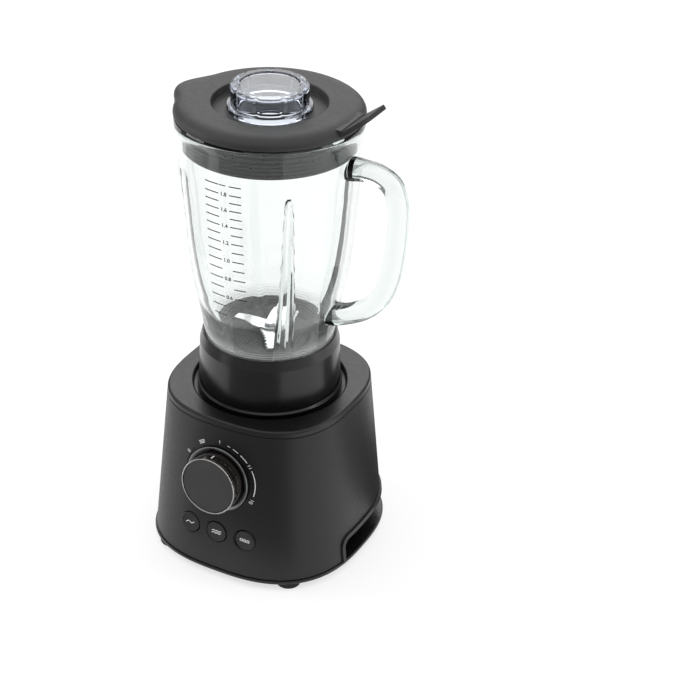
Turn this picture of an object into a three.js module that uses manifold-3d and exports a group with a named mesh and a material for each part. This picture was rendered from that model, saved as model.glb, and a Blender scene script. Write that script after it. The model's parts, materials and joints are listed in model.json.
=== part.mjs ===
// Countertop blender: motor base, glass jug with its blade unit, lid and measuring cap.
// Millimetres, +Z up, standing on z = 0. The front, with the dial, faces -Y and the jug handle points to +X.
import * as THREE from 'three';
import { mergeVertices } from 'three/addons/utils/BufferGeometryUtils.js';
import { ConvexGeometry } from 'three/addons/geometries/ConvexGeometry.js';
import Module from 'manifold-3d';

const wasm = await Module();
wasm.setup();

// ---------------------------------------------------------------- driving dimensions

const GAP = 0.3;                 // between neighbours that touch on the real object
const RUNNING = 0.3;             // round a shaft
const COARSE = 28;               // segments of the large rings
const MEDIUM = 24;               // segments of dial-sized rings
const SMALL = 12;                // segments of shafts, feet and screws

// Rounded-square plan of the base: |x|^p + |y|^p = halfWidth^p.
const BASE = {
  power: 2.66,
  bottom: 9.7, top: 151.8,       // heights of the housing shell
  halfWidth: 97.0,               // at the bottom
  slope: Math.tan(THREE.MathUtils.degToRad(5.04)),
  wall: 3,
};
const PLATE = { halfWidth: 98.3, bottom: 6.2, top: BASE.bottom - GAP };
const FOOT = { x: 61, y: 72, radius: 11.5, height: PLATE.bottom - GAP };
const SCREW = { x: 40, front: -76, back: 60, shank: 1.6, head: 3.4, bossRadius: 5, bossTop: 26, web: 13 };
const RECESS = { depth: 22, top: 29.5, front: -30, wall: 2.5, lip: 1.6, lipHeight: 5.5, lipWidth: 4.5 };
const GLAND = { x: 30, z: 19.5, radius: 6, hole: 3.6, length: 14, flange: 8.5 };
const VENT = { width: 4, length: 46, pitch: 9, count: 7 };

const DECK = {
  bottom: 152.4, top: 158.1, skin: 2.6, wall: 3.5, edge: 1.3,
  grooveRadius: 68, grooveFloor: 152,
  bossRadius: 58.5, bossTop: 169.5,
  wellRadius: 24, wellFloor: 160, shaftHole: 14,
};
const MOUNT = { offset: 44.5, radius: 7, bottom: 125.3, top: 131, postRadius: 5.5 };

const DIAL = { height: 102, bezelRadius: 30.5, knobRadius: 26.5, reach: 18, plateDepth: 8, seat: 2.3 };
const BUTTON = { radius: 9.6, travel: 1.5, height: 47, spacing: 28.2, flange: 11.2, proud: 0.4, depth: 8.8 };
const SPINDLE = { radius: 3, low: -10, headroom: 6 };
const SWITCH = { dialRadius: 11, keyHalf: 3, keyHeight: 7, plunger: 1.7 };
const BOARD = { width: 84, height: 100, depth: 22, thickness: 1.6, below: 14 };

const SHAFT = { radius: 4, bottom: 30, top: 169 };
const MOTOR = {
  half: 39, corner: 12, bottom: 66, top: 98, poleRadius: 24, slotRadius: 33, rotorRadius: 23.2,
  slotSpan: 104, coilSpan: 100, coilOverhang: 8,
};
const WINDING = { low: 57, high: 105.5, end: 16, shoulder: 19 };
const COMMUTATOR = { radius: 12.5, bottom: 106, top: 119 };
const BRUSH = { inner: 13, outer: 36, half: 4, bottom: 108, top: 116 };
const BOLT = { offset: 34.5, shank: 2, head: 4, bottom: 44, headTop: 48, top: 128 };
const BEARING = { radius: 11, height: 6.5, upper: 125.6, lower: 49.6 };
const BRACKET = { halfWidth: 7, end: 6, cup: 14, throat: 8 };
const UPPER_BRACKET = { bottom: 121, thickness: 4, arm: MOUNT.offset, cupBottom: 125.3, cupTop: 132 };
const LOWER_BRACKET = { bottom: 48.3, thickness: 3, arm: 36, cupBottom: 49.3, cupTop: 56.4 };
const FAN = { radius: 34, hub: 9, blades: 9, thickness: 2, bottom: 31, top: 41 };
const COUPLING = {
  radius: 12, inner: 6.6, teeth: 6, toothSpan: 24, base: 161.5, mesh: 171, tip: 178, drivenTop: 187.5,
};

// Jug: outer and inner glass profiles as [radius, height].
const GLASS_OUTER = [
  [56.2, 201.5], [56.9, 209.5], [61.4, 237], [67, 262], [70.3, 286], [74.5, 335], [76.2, 360], [76.8, 385],
  [78, 399], [79.2, 409], [78.8, 413.2], [77, 414.4],
];
const GLASS_INNER = [
  [47.3, 201.5], [47.3, 206], [49.4, 214], [53, 228], [56.6, 240], [61.6, 262], [65, 286], [69.2, 335],
  [70.9, 360], [71.4, 385], [72.4, 405], [74.6, 413.4], [77, 414.4],
];
const SPOUT = { reach: 9.5, halfAngle: THREE.MathUtils.degToRad(23), start: 384, full: 409 };
const RIB = {
  count: 4, firstAngle: THREE.MathUtils.degToRad(42.5), bottom: 206.4, top: 366,
  footRadius: 41.5, tipRadius: 70.6, halfFoot: 6.5, halfTip: 2, embed: 8.5,
};
const HANDLE = { thickness: 18.6, width: 20, sides: 12, steps: 20 };
const HANDLE_ROUTE = [
  [70, 380.5], [86, 382.5], [102, 381.5], [114, 375], [119.6, 361], [120.4, 338], [118.4, 312], [114.6, 290],
  [107.3, 270.5], [94.5, 256], [79, 246.5], [58, 240],
];
const COLLAR = {
  bottom: 153.2, footRadius: 64.4, shoulder: 200.1, shoulderRadius: 61.5, top: 209.5, topRadius: 58.9,
  bore: 57.4, ledgeTop: 195.7, ledgeBottom: 192.6, ledgeBore: 48, skirtWall: 2.9,
};
const CARRIER = {
  radius: 46.9, top: 205.8, flange: 56.6, flangeBottom: 196, flangeTop: 199,
  hub: 12, hubTop: 208.4, hubBottom: 190, skin: 3,
};
const SEAL = { bottom: 199.3, top: 201.2 };
const BUSH = { outer: 8.6, seat: 9 };
const BLADE_SHAFT = { bottom: 182, top: 215.6 };
const BLADE = { hub: 9, root: 6, thickness: 1.8, low: 209.3, high: 212 };
const NUT = { radius: 5.5, bottom: 214.1, top: 217 };
// Outlines as [along, across]: the whole plain arm, and the toothed arm's smooth edge up to its tip.
const PLAIN_ARM = [[0, 8.5], [3, 8.5], [15, 1.5], [27, 1], [25.5, -5.5], [8, -8.5], [0, -8.5]];
const TOOTHED_ARM = [[0, -8.5], [24, -8.5], [32.5, -4]];
const TEETH = { count: 7, depth: 1.4, length: 1.2, rootAcross: 9.5, tipAcross: 3.5 };
const ARM_TURNS = { lower: [-60, 98], upper: [192, 12] };  // degrees round the shaft
const ARM_LIFTS = { lower: [1, 1], upper: [6, 42] };       // degrees above level

const LID = {
  radius: 79.45, bottom: 414.9, sideTop: 416.8, top: 424, recessRadius: 47.7, recessFloor: 417.2, neck: 30.6,
  neckBottom: 400, neckWall: 2.4, plugRadius: 67.2, plugBottom: 386.5, plugWall: 2.6, skin: 3,
};
const TAB = {
  length: 31, width: 40, thickness: 4.2, rise: THREE.MathUtils.degToRad(37), root: 72.5, rootHeight: 413.2,
  padStart: 64, padEnd: 77, padBottom: 421, padTop: 422.6, cornerCut: 11,
};
const GASKET = { inner: 67.5, valley: 69.4, crest: 70.5, bottom: 387, top: 410.4, ribs: 3 };
const CAP = {
  tube: 30, bore: 27.4, bottom: 403, flange: 35.9, flangeBottom: 417.7, flangeTop: 422.2,
  grip: 32.5, gripTop: 437.4, top: 439, panel: 24.3, lobes: 9, lobeDepth: 1.5, skin: 2.4,
};

// ---------------------------------------------------------------- materials

const finish = (color, roughness, metalness = 0, extra = {}) =>
  new THREE.MeshStandardMaterial({ color, roughness, metalness, ...extra });

const MATERIALS = {
  housing: finish(0x2b2b2c, 0.62),
  deck: finish(0x38383a, 0.55),
  lid: finish(0x3c3c3d, 0.6),
  collar: finish(0x1d1d1e, 0.35),
  trim: finish(0x18181a, 0.3),
  knob: finish(0x1a1918, 0.2),
  chrome: finish(0xcfc6c2, 0.15, 1),
  rubber: finish(0x151515, 0.8),
  gasket: finish(0x0f0f10, 0.25),
  glass: finish(0xe9f3f0, 0.03, 0, { transparent: true, opacity: 0.3 }),
  clear: finish(0xd8dce6, 0.08, 0, { transparent: true, opacity: 0.45 }),
  steel: finish(0xb9bbbd, 0.3, 1),
  carrier: finish(0x55575a, 0.4),
  coupler: finish(0x202020, 0.6),
  copper: finish(0xa8582e, 0.4, 0.9),
  bronze: finish(0x9a7a45, 0.4, 0.9),
  laminate: finish(0x6e7073, 0.5, 0.8),
  nylon: finish(0xd9d6cc, 0.6),
  board: finish(0x24512f, 0.5),
};

// ---------------------------------------------------------------- solids

/** Turns a closed three.js geometry into a solid that faces outwards. */
function solid(geometry) {
  const bare = geometry.clone();
  bare.deleteAttribute('normal');
  bare.deleteAttribute('uv');
  const merged = mergeVertices(bare, 1e-4);
  const position = merged.attributes.position;
  const corners = [0, 1, 2].map(() => new THREE.Vector3());
  const triangles = [];
  let volume = 0;
  for (let i = 0; i < merged.index.count; i += 3) {
    const triangle = [0, 1, 2].map((k) => merged.index.getX(i + k));
    if (new Set(triangle).size < 3) continue;
    corners.forEach((corner, k) => corner.fromBufferAttribute(position, triangle[k]));
    volume += corners[0].dot(corners[1].clone().cross(corners[2]));
    triangles.push(triangle);
  }
  if (volume < 0) triangles.forEach((triangle) => triangle.reverse());
  return new wasm.Manifold(new wasm.Mesh({
    numProp: 3,
    vertProperties: new Float32Array(position.array),
    triVerts: new Uint32Array(triangles.flat()),
  }));
}

/** Solid of revolution about Z. reshape(radius, height, angle) can change the radius on the way round. */
function revolve(profile, segments = MEDIUM, reshape = (radius) => radius) {
  const closed = profile[0][0] > 0 ? [...profile, profile[0]] : profile;
  const geometry = new THREE.LatheGeometry(closed.map(([r, z]) => new THREE.Vector2(r, z)), segments);
  geometry.rotateX(Math.PI / 2);
  const position = geometry.attributes.position;
  for (let i = 0; i < position.count; i++) {
    const [x, y, z] = [position.getX(i), position.getY(i), position.getZ(i)];
    const radius = Math.hypot(x, y);
    if (radius < 1e-6) continue;
    const scale = reshape(radius, z, Math.atan2(y, x)) / radius;
    position.setXY(i, x * scale, y * scale);
  }
  return solid(geometry);
}

const cylinder = (radius, low, high, segments = SMALL) =>
  revolve([[0, low], [radius, low], [radius, high], [0, high]], segments);

const tube = (inner, outer, low, high, segments = SMALL) =>
  revolve([[inner, low], [outer, low], [outer, high], [inner, high]], segments);

/** Box given by its lowest and highest corners. */
function box(low, high) {
  const size = high.map((value, i) => value - low[i]);
  const geometry = new THREE.BoxGeometry(...size);
  return solid(geometry.translate(...low.map((value, i) => value + size[i] / 2)));
}

function extrude(shape, low, high, curveSegments = 4) {
  const depth = high - low;
  const geometry = new THREE.ExtrudeGeometry(shape, { depth, bevelEnabled: false, curveSegments });
  return solid(geometry.translate(0, 0, low));
}

/** Part of a ring between two angles, in degrees. */
function sector(inner, outer, low, high, middle, span) {
  const [start, end] = [middle - span / 2, middle + span / 2].map(THREE.MathUtils.degToRad);
  const shape = new THREE.Shape();
  shape.absarc(0, 0, outer, start, end, false);
  shape.absarc(0, 0, inner, end, start, true);
  return extrude(shape, low, high, Math.ceil(span / 26));
}

const join = (...solids) => solids.reduce((whole, next) => whole.add(next));
const cut = (whole, ...tools) => tools.reduce((rest, tool) => rest.subtract(tool), whole);
const smooth = THREE.MathUtils.smoothstep;

// ---------------------------------------------------------------- scene helpers

const blender = new THREE.Group();

/** Adds one named mesh. place is a position in the parent's frame. */
function add(name, shape, material, parent = blender, place = [0, 0, 0]) {
  const { vertProperties, triVerts } = shape.getMesh();
  const geometry = new THREE.BufferGeometry();
  geometry.setAttribute('position', new THREE.BufferAttribute(vertProperties, 3));
  geometry.setIndex(new THREE.BufferAttribute(triVerts, 1));
  geometry.computeVertexNormals();
  const mesh = new THREE.Mesh(geometry, MATERIALS[material]);
  mesh.name = name;
  mesh.position.set(...place);
  parent.add(mesh);
  return mesh;
}

const CORNERS = [
  ['front_left', -1, -1], ['front_right', 1, -1], ['back_left', -1, 1], ['back_right', 1, 1],
];
const SIDES = [['left', -1], ['right', 1]];

// ---------------------------------------------------------------- base shell

const squareness = (angle) =>
  (Math.abs(Math.cos(angle)) ** BASE.power + Math.abs(Math.sin(angle)) ** BASE.power) ** (-1 / BASE.power);
const halfWidthAt = (z) => BASE.halfWidth - (z - BASE.bottom) * BASE.slope;

/** Upright or tapering block with the base's rounded-square plan. */
const block = (lowHalf, highHalf, low, high) =>
  revolve([[0, low], [lowHalf, low], [highHalf, high], [0, high]], COARSE,
    (r, z, angle) => r * squareness(angle));

/** The housing's own taper between two heights, moved out by offset. */
const taper = (offset, low, high) => block(halfWidthAt(low) + offset, halfWidthAt(high) + offset, low, high);

// The panel frame lies on the sloping front face at the dial: +Z out of the face, +Y up along it.
const panel = new THREE.Group();
panel.position.set(0, -halfWidthAt(DIAL.height), DIAL.height);
panel.rotation.x = Math.PI / 2 - Math.atan(BASE.slope);
panel.updateMatrix();
blender.add(panel);

const onPanel = (shape, x = 0, y = 0, z = 0) => shape.translate([x, y, z]).transform(panel.matrix.elements);

/** Where a button stands in the panel frame: it follows the slight roundness of the front face. */
function buttonPlace(index) {
  const x = (index - 1) * BUTTON.spacing;
  const half = halfWidthAt(BUTTON.height);
  const setback = half * (1 - (1 - (Math.abs(x) / half) ** BASE.power) ** (1 / BASE.power));
  return [x, (BUTTON.height - DIAL.height) * Math.hypot(1, BASE.slope), -setback];
}
const BUTTON_PLACES = [0, 1, 2].map(buttonPlace);

/** The cord-storage channel that runs round the sides and back of the base, just above the bottom plate. */
function cordRecess(inset, top, front) {
  const reach = 2 * BASE.halfWidth;
  const outside = box([-reach, front, 0], [reach, reach, top]);
  const core = BASE.halfWidth - inset;
  return outside.subtract(block(core, core, -1, top + 1));
}

function housing() {
  const { wall, bottom, top } = BASE;
  const hollow = taper(-wall, bottom - 1, top + 1);
  const shell = taper(0, bottom, top).subtract(hollow);
  const behind = box([-200, RECESS.front - RECESS.lipWidth, 0], [200, 200, top]);
  const lip = taper(RECESS.lip, bottom, RECESS.top + RECESS.lipHeight).intersect(behind).subtract(hollow);
  const liner = cordRecess(RECESS.depth + RECESS.wall, RECESS.top + RECESS.wall, RECESS.front - RECESS.wall)
    .intersect(taper(-1, bottom, top));
  const bosses = [];
  for (const [, sx, sy] of CORNERS) {
    const y = sy < 0 ? SCREW.front : SCREW.back;
    const x = sx * SCREW.x;
    bosses.push(cylinder(SCREW.bossRadius, bottom, SCREW.bossTop).translate([x, y, 0]));
    const [near, far] = [y, y + sy * SCREW.web].sort((a, b) => a - b);
    const web = box([x - 1.5, near, bottom], [x + 1.5, far, SCREW.bossTop]);
    bosses.push(web.intersect(taper(-1, bottom, top)));
  }
  const dialPlate = onPanel(cylinder(DIAL.bezelRadius + 3, -DIAL.plateDepth, -1, MEDIUM));
  const body = cut(
    join(shell, lip, liner, dialPlate, ...bosses),
    cordRecess(RECESS.depth, RECESS.top, RECESS.front),
    onPanel(cylinder(DIAL.bezelRadius + GAP, -DIAL.seat, 10, MEDIUM)),
    onPanel(cylinder(5, -20, 10)),
  );
  const keyHole = cylinder(BUTTON.radius + 0.5, -12, 10, MEDIUM);
  const holes = BUTTON_PLACES.map((place) => onPanel(keyHole, ...place));
  const screwHoles = CORNERS.map(([, sx, sy]) => cylinder(SCREW.shank + GAP, 0, SCREW.bossTop - 2)
    .translate([sx * SCREW.x, sy < 0 ? SCREW.front : SCREW.back, 0]));
  const glandHole = cylinder(GLAND.radius + GAP, 0, 40).rotate([-90, 0, 0]).translate([GLAND.x, 40, GLAND.z]);
  return cut(body, ...holes, ...screwHoles, glandHole);
}
add('housing', housing(), 'housing');

function bottomPlate() {
  const plate = block(PLATE.halfWidth, PLATE.halfWidth, PLATE.bottom, PLATE.top);
  const slots = [];
  for (let i = 0; i < VENT.count; i++) {
    const x = (i - (VENT.count - 1) / 2) * VENT.pitch;
    slots.push(box([x - VENT.width / 2, -VENT.length / 2, 0], [x + VENT.width / 2, VENT.length / 2, 20]));
  }
  const screwHoles = CORNERS.map(([, sx, sy]) =>
    cylinder(SCREW.shank + GAP, 0, 20).translate([sx * SCREW.x, sy < 0 ? SCREW.front : SCREW.back, 0]));
  return cut(plate, ...slots, ...screwHoles);
}
add('bottom_plate', bottomPlate(), 'trim');

for (const [corner, sx, sy] of CORNERS) {
  const foot = revolve([
    [0, 0], [FOOT.radius - 1.5, 0], [FOOT.radius, 1.2], [FOOT.radius - 0.8, FOOT.height], [0, FOOT.height],
  ], SMALL);
  add(`foot_${corner}`, foot, 'rubber', blender, [sx * FOOT.x, sy * FOOT.y, 0]);
  const screw = revolve([
    [0, 4], [SCREW.head, 4], [SCREW.head, PLATE.bottom - GAP], [SCREW.shank, PLATE.bottom - GAP],
    [SCREW.shank, SCREW.bossTop - 4], [0, SCREW.bossTop - 4],
  ], 8);
  add(`plate_screw_${corner}`, screw, 'steel', blender, [sx * SCREW.x, sy < 0 ? SCREW.front : SCREW.back, 0]);
}

/** Rubber outlet of the mains lead, through the back wall of the cord channel. */
function cordGland() {
  const core = BASE.halfWidth - RECESS.depth;
  const wallY = core * (1 - (GLAND.x / core) ** BASE.power) ** (1 / BASE.power);
  const profile = [
    [GLAND.hole, -6], [GLAND.radius, -6], [GLAND.radius, 1.5], [GLAND.flange, 1.5], [GLAND.flange, 4],
    [GLAND.hole + 1.6, GLAND.length - 3], [GLAND.hole, GLAND.length - 3],
  ];
  return add('cord_gland', revolve(profile, SMALL).rotate([-90, 0, 0]), 'rubber', blender,
    [GLAND.x, wallY, GLAND.z]);
}
cordGland();

// ---------------------------------------------------------------- top deck

function topDeck() {
  const d = DECK;
  const edge = halfWidthAt(d.top);
  const plan = (r, z, angle) => (r > d.grooveRadius + 4 ? r * squareness(angle) : r);
  const deck = revolve([
    [halfWidthAt(d.bottom), d.bottom], [halfWidthAt(d.top - d.edge), d.top - d.edge], [edge - 1.4, d.top],
    [d.grooveRadius + 1, d.top - 0.8], [d.grooveRadius, d.top - 1.8], [d.grooveRadius, d.grooveFloor],
    [d.bossRadius, d.grooveFloor], [d.bossRadius - 1, d.bossTop - 1.5], [d.bossRadius - 2.5, d.bossTop],
    [d.wellRadius + 2, d.bossTop], [d.wellRadius, d.bossTop - 1.5], [d.wellRadius, d.wellFloor],
    [d.shaftHole, d.wellFloor], [d.shaftHole, d.wellFloor - d.skin],
    [d.wellRadius + d.skin, d.wellFloor - d.skin], [d.wellRadius + d.skin, d.bossTop - d.skin],
    [d.bossRadius - 1 - d.skin, d.bossTop - d.skin], [d.bossRadius - d.skin, d.grooveFloor - d.skin],
    [d.grooveRadius + d.skin, d.grooveFloor - d.skin], [d.grooveRadius + d.skin, d.top - d.wall],
    [edge - d.wall, d.top - d.wall + 0.4], [edge - d.wall, d.bottom],
  ], COARSE, plan);
  const post = cylinder(MOUNT.postRadius, MOUNT.top + GAP, d.grooveFloor - 1);
  const posts = CORNERS.map(([, sx, sy]) => post.translate([sx * MOUNT.offset, sy * MOUNT.offset, 0]));
  return join(deck, ...posts);
}
add('top_deck', topDeck(), 'deck');

add('shaft_seal', tube(SHAFT.radius + RUNNING, DECK.shaftHole - GAP, DECK.wellFloor - 2, DECK.wellFloor, 20),
  'rubber');

// ---------------------------------------------------------------- dial and buttons, in the panel frame

function dial() {
  const { bezelRadius, knobRadius, reach, seat } = DIAL;
  const floor = -seat + GAP;
  add('dial_bezel', revolve([
    [5.5, floor], [bezelRadius, floor], [bezelRadius, 1.4], [bezelRadius - 0.8, 2.2], [knobRadius + 1.8, 1.6],
    [knobRadius + 0.9, -0.4], [5.5, -0.4],
  ], MEDIUM), 'trim', panel);
  const rim = knobRadius - 0.3;
  add('knob', cut(
    revolve([
      [0, 0.6], [rim - 0.6, 0.6], [rim, 1.2], [rim, reach - 2.8], [rim - 1.4, reach - 2.8],
      [rim - 1.4, reach - 1.6], [0, reach - 1.6],
    ], MEDIUM),
    tube(7, rim - 3, 0, reach - 5, MEDIUM),
    cylinder(SPINDLE.radius + RUNNING, 0, reach - SPINDLE.headroom),
  ), 'knob', panel);
  add('knob_trim_ring', revolve([
    [rim - 1.1, reach - 2.5], [knobRadius - 0.5, reach - 2.5], [knobRadius, reach - 2],
    [knobRadius, reach - 0.6], [knobRadius - 0.6, reach], [rim - 1.1, reach],
  ], MEDIUM), 'chrome', panel);
  add('knob_face', cylinder(rim - 1.4, reach - 1.3, reach - 0.5, MEDIUM), 'housing', panel);
  const spindleTop = reach - SPINDLE.headroom - GAP;
  add('switch_spindle', cylinder(SPINDLE.radius, SPINDLE.low, spindleTop), 'steel', panel);
  add('rotary_switch', cut(cylinder(SWITCH.dialRadius, -BOARD.depth + GAP, -DIAL.plateDepth - GAP, 20),
    cylinder(SPINDLE.radius + RUNNING, SPINDLE.low - GAP, 0)), 'nylon', panel);
}
dial();

const BUTTON_NAMES = ['pulse', 'smoothie', 'ice'];
BUTTON_PLACES.forEach((place, i) => {
  const button = join(
    revolve([
      [0, -BUTTON.depth], [BUTTON.radius, -BUTTON.depth], [BUTTON.radius, BUTTON.proud - 0.6],
      [BUTTON.radius - 0.6, BUTTON.proud], [0, BUTTON.proud],
    ], 16),
    cylinder(BUTTON.flange, -BUTTON.depth, 1.4 - BUTTON.depth, 16),
  );
  add(`${BUTTON_NAMES[i]}_button`, button, 'housing', panel, place);
  const { keyHalf, keyHeight, plunger } = SWITCH;
  const boardTop = -BOARD.depth - place[2];
  const body = box([-keyHalf, -keyHalf, boardTop + GAP], [keyHalf, keyHalf, boardTop + keyHeight]);
  const pin = cylinder(plunger, boardTop + keyHeight - 0.5, -BUTTON.depth - BUTTON.travel - GAP, 8);
  add(`${BUTTON_NAMES[i]}_switch`, join(body, pin), 'trim', panel, place);
});

const boardLow = BUTTON_PLACES[1][1] - BOARD.below;
add('control_board', box(
  [-BOARD.width / 2, boardLow, -BOARD.depth - BOARD.thickness],
  [BOARD.width / 2, boardLow + BOARD.height, -BOARD.depth],
), 'board', panel);

// ---------------------------------------------------------------- motor

function motor() {
  const { half, corner, bottom, top, poleRadius, slotRadius, rotorRadius, coilOverhang } = MOTOR;
  const outline = new THREE.Shape();
  const points = [[half, half - corner], [half - corner, half], [corner - half, half], [-half, half - corner],
    [-half, corner - half], [corner - half, -half], [half - corner, -half], [half, corner - half]];
  outline.setFromPoints(points.map(([x, y]) => new THREE.Vector2(x, y)));
  const slots = SIDES.map(([, sx]) =>
    sector(poleRadius - 1, slotRadius, bottom - 1, top + 1, sx > 0 ? 0 : 180, MOTOR.slotSpan));
  const rotorHole = cylinder(poleRadius, bottom - 1, top + 1, MEDIUM);
  const stator = cut(extrude(outline, bottom, top), rotorHole, ...slots);
  add('motor_stator', stator, 'laminate');
  for (const [side, sx] of SIDES) {
    const coil = sector(poleRadius + 0.4, slotRadius - 0.8, bottom - coilOverhang, top + coilOverhang,
      sx > 0 ? 0 : 180, MOTOR.coilSpan);
    add(`field_coil_${side}`, coil, 'copper');
    const [low, high] = [BRUSH.inner, BRUSH.outer].map((x) => x * sx).sort((a, b) => a - b);
    const holder = box([low, -BRUSH.half, BRUSH.bottom], [high, BRUSH.half, BRUSH.top]);
    add(`brush_holder_${side}`, holder, 'bronze');
    add(`motor_bolt_${side}`, revolve([
      [0, BOLT.bottom], [BOLT.head, BOLT.bottom], [BOLT.head, BOLT.headTop], [BOLT.shank, BOLT.headTop],
      [BOLT.shank, BOLT.top], [0, BOLT.top],
    ], 8), 'steel', blender, [sx * BOLT.offset, sx * BOLT.offset, 0]);
  }
  const bore = SHAFT.radius + RUNNING;
  add('motor_shaft', cylinder(SHAFT.radius, SHAFT.bottom, SHAFT.top), 'steel');
  add('armature', revolve([
    [bore, WINDING.low], [WINDING.end, WINDING.low + 1], [WINDING.shoulder, bottom - 1],
    [rotorRadius, bottom], [rotorRadius, top],
    [WINDING.shoulder, top + 1], [WINDING.end, WINDING.high - 0.5], [bore, WINDING.high],
  ], MEDIUM), 'copper');
  add('commutator', tube(bore, COMMUTATOR.radius, COMMUTATOR.bottom, COMMUTATOR.top, 16), 'copper');
  for (const [name, low] of [['upper_bearing', BEARING.upper], ['lower_bearing', BEARING.lower]]) {
    add(name, tube(bore, BEARING.radius, low, low + BEARING.height, 16), 'steel');
  }
}
motor();

/** Cross-shaped motor bracket with a bearing cup; its four arms reach out to a corner distance. */
function bracket({ bottom, thickness, arm, cupBottom, cupTop }) {
  const { halfWidth, end, cup, throat } = BRACKET;
  const top = bottom + thickness;
  const reach = arm * Math.SQRT2 + end;
  const bars = [45, -45].map((turn) =>
    box([-reach, -halfWidth, bottom], [reach, halfWidth, top]).rotate([0, 0, turn]));
  const boltHoles = SIDES.map(([, sx]) =>
    cylinder(BOLT.shank + GAP, bottom - 1, top + 1).translate([sx * BOLT.offset, sx * BOLT.offset, 0]));
  return cut(
    join(...bars, cylinder(cup, bottom, Math.max(cupTop, top), 16)),
    cylinder(BEARING.radius + GAP, cupBottom, cupTop + 5, 16),
    cylinder(throat, bottom - 1, cupTop + 1),
    ...boltHoles,
  );
}
add('upper_bracket', bracket(UPPER_BRACKET), 'laminate');
add('lower_bracket', bracket(LOWER_BRACKET), 'laminate');

for (const [corner, sx, sy] of CORNERS) {
  const waist = (MOUNT.bottom + MOUNT.top) / 2;
  add(`motor_mount_${corner}`, revolve([
    [0, MOUNT.bottom], [MOUNT.radius, MOUNT.bottom], [MOUNT.radius - 1.5, waist], [MOUNT.radius, MOUNT.top],
    [0, MOUNT.top],
  ], 10), 'rubber', blender, [sx * MOUNT.offset, sy * MOUNT.offset, 0]);
}

function coolingFan() {
  const { radius, hub, bottom, top, thickness } = FAN;
  const blade = box([hub - 2, -1, bottom], [radius, 1, top - thickness + 0.5]);
  const blades = [];
  for (let i = 0; i < FAN.blades; i++) blades.push(blade.rotate([0, 0, (i * 360) / FAN.blades]));
  const disc = cylinder(radius, top - thickness, top, MEDIUM);
  const bore = cylinder(SHAFT.radius + RUNNING, bottom - 1, top + 1);
  return cut(join(disc, cylinder(hub, bottom, top), ...blades), bore);
}
add('cooling_fan', coolingFan(), 'nylon');

// ---------------------------------------------------------------- drive coupling

/** One half of the dog coupling: a hub with teeth that reach from low to high. */
function coupling(hubLow, hubHigh, toothLow, toothHigh, firstAngle) {
  const teeth = [];
  for (let i = 0; i < COUPLING.teeth; i++) {
    const middle = firstAngle + (i * 360) / COUPLING.teeth;
    teeth.push(sector(COUPLING.inner, COUPLING.radius, toothLow, toothHigh, middle, COUPLING.toothSpan));
  }
  return join(cylinder(COUPLING.radius, hubLow, hubHigh, 24), ...teeth);
}
const halfPitch = 180 / COUPLING.teeth;
const shaftBore = SHAFT.radius + RUNNING;
add('drive_coupler', cut(
  coupling(COUPLING.base, COUPLING.mesh, COUPLING.mesh - 0.5, COUPLING.tip, 0),
  cylinder(shaftBore, COUPLING.base - 1, SHAFT.top + GAP),
), 'coupler');
add('driven_coupler', cut(
  coupling(COUPLING.tip + 0.6, COUPLING.drivenTop, COUPLING.mesh + 0.6, COUPLING.tip + 1, halfPitch),
  cylinder(shaftBore, BLADE_SHAFT.bottom - GAP, COUPLING.drivenTop + 1),
), 'coupler');

// ---------------------------------------------------------------- jug

/** How far the pouring lip reaches out at an angle round the jug; the lip points to -X. */
function lipReach(angle) {
  const off = Math.PI - Math.abs(angle);
  return off < SPOUT.halfAngle ? (SPOUT.reach / 2) * (1 + Math.cos((Math.PI * off) / SPOUT.halfAngle)) : 0;
}
const withLip = (r, z, angle) => r + lipReach(angle) * smooth(z, SPOUT.start, SPOUT.full);

function handle() {
  const points = HANDLE_ROUTE.map(([x, z]) => new THREE.Vector3(x, 0, z));
  const section = new THREE.Shape();
  const oval = [];
  for (let i = 0; i < HANDLE.sides; i++) {
    const turn = (i * 2 * Math.PI) / HANDLE.sides;
    const across = (HANDLE.width / 2) * Math.sin(turn);
    oval.push(new THREE.Vector2(across, (HANDLE.thickness / 2) * Math.cos(turn)));
  }
  section.setFromPoints(oval);
  return solid(new THREE.ExtrudeGeometry(section, {
    steps: HANDLE.steps, bevelEnabled: false, extrudePath: new THREE.CatmullRomCurve3(points),
  }));
}

/** Tapering upright rib that stands into the jug and breaks the whirl. */
function rib(turn) {
  const corners = [];
  const ends = [[RIB.bottom, RIB.footRadius, RIB.halfFoot], [RIB.top, RIB.tipRadius, RIB.halfTip]];
  for (const [z, radius, half] of ends) {
    for (const side of [-1, 1]) {
      corners.push(new THREE.Vector3(radius, side * half * 0.3, z));
      corners.push(new THREE.Vector3(radius + 2 * RIB.embed - 1, side * half, z));
    }
  }
  return solid(new ConvexGeometry(corners)).rotate([0, 0, THREE.MathUtils.radToDeg(turn)]);
}

function glassJug() {
  const [bottomRadius, bottom] = GLASS_OUTER[0];
  const outer = revolve([[0, bottom], ...GLASS_OUTER, [0, GLASS_OUTER.at(-1)[1]]], COARSE, withLip);
  const [innerRadius] = GLASS_INNER[0];
  const rim = GLASS_INNER.at(-1)[1];
  const inner = revolve([[0, bottom - 1], [innerRadius, bottom - 1], ...GLASS_INNER.slice(1), [0, rim]],
    COARSE, withLip);
  const outside = join(outer, handle().intersect(box([bottomRadius - 10, -50, bottom], [200, 50, 430])));
  const ribs = [];
  for (let i = 0; i < RIB.count; i++) ribs.push(rib(RIB.firstAngle + (i * Math.PI) / 2).intersect(outer));
  return join(outside.subtract(inner), ...ribs);
}
add('glass_jug', glassJug(), 'glass');

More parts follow.
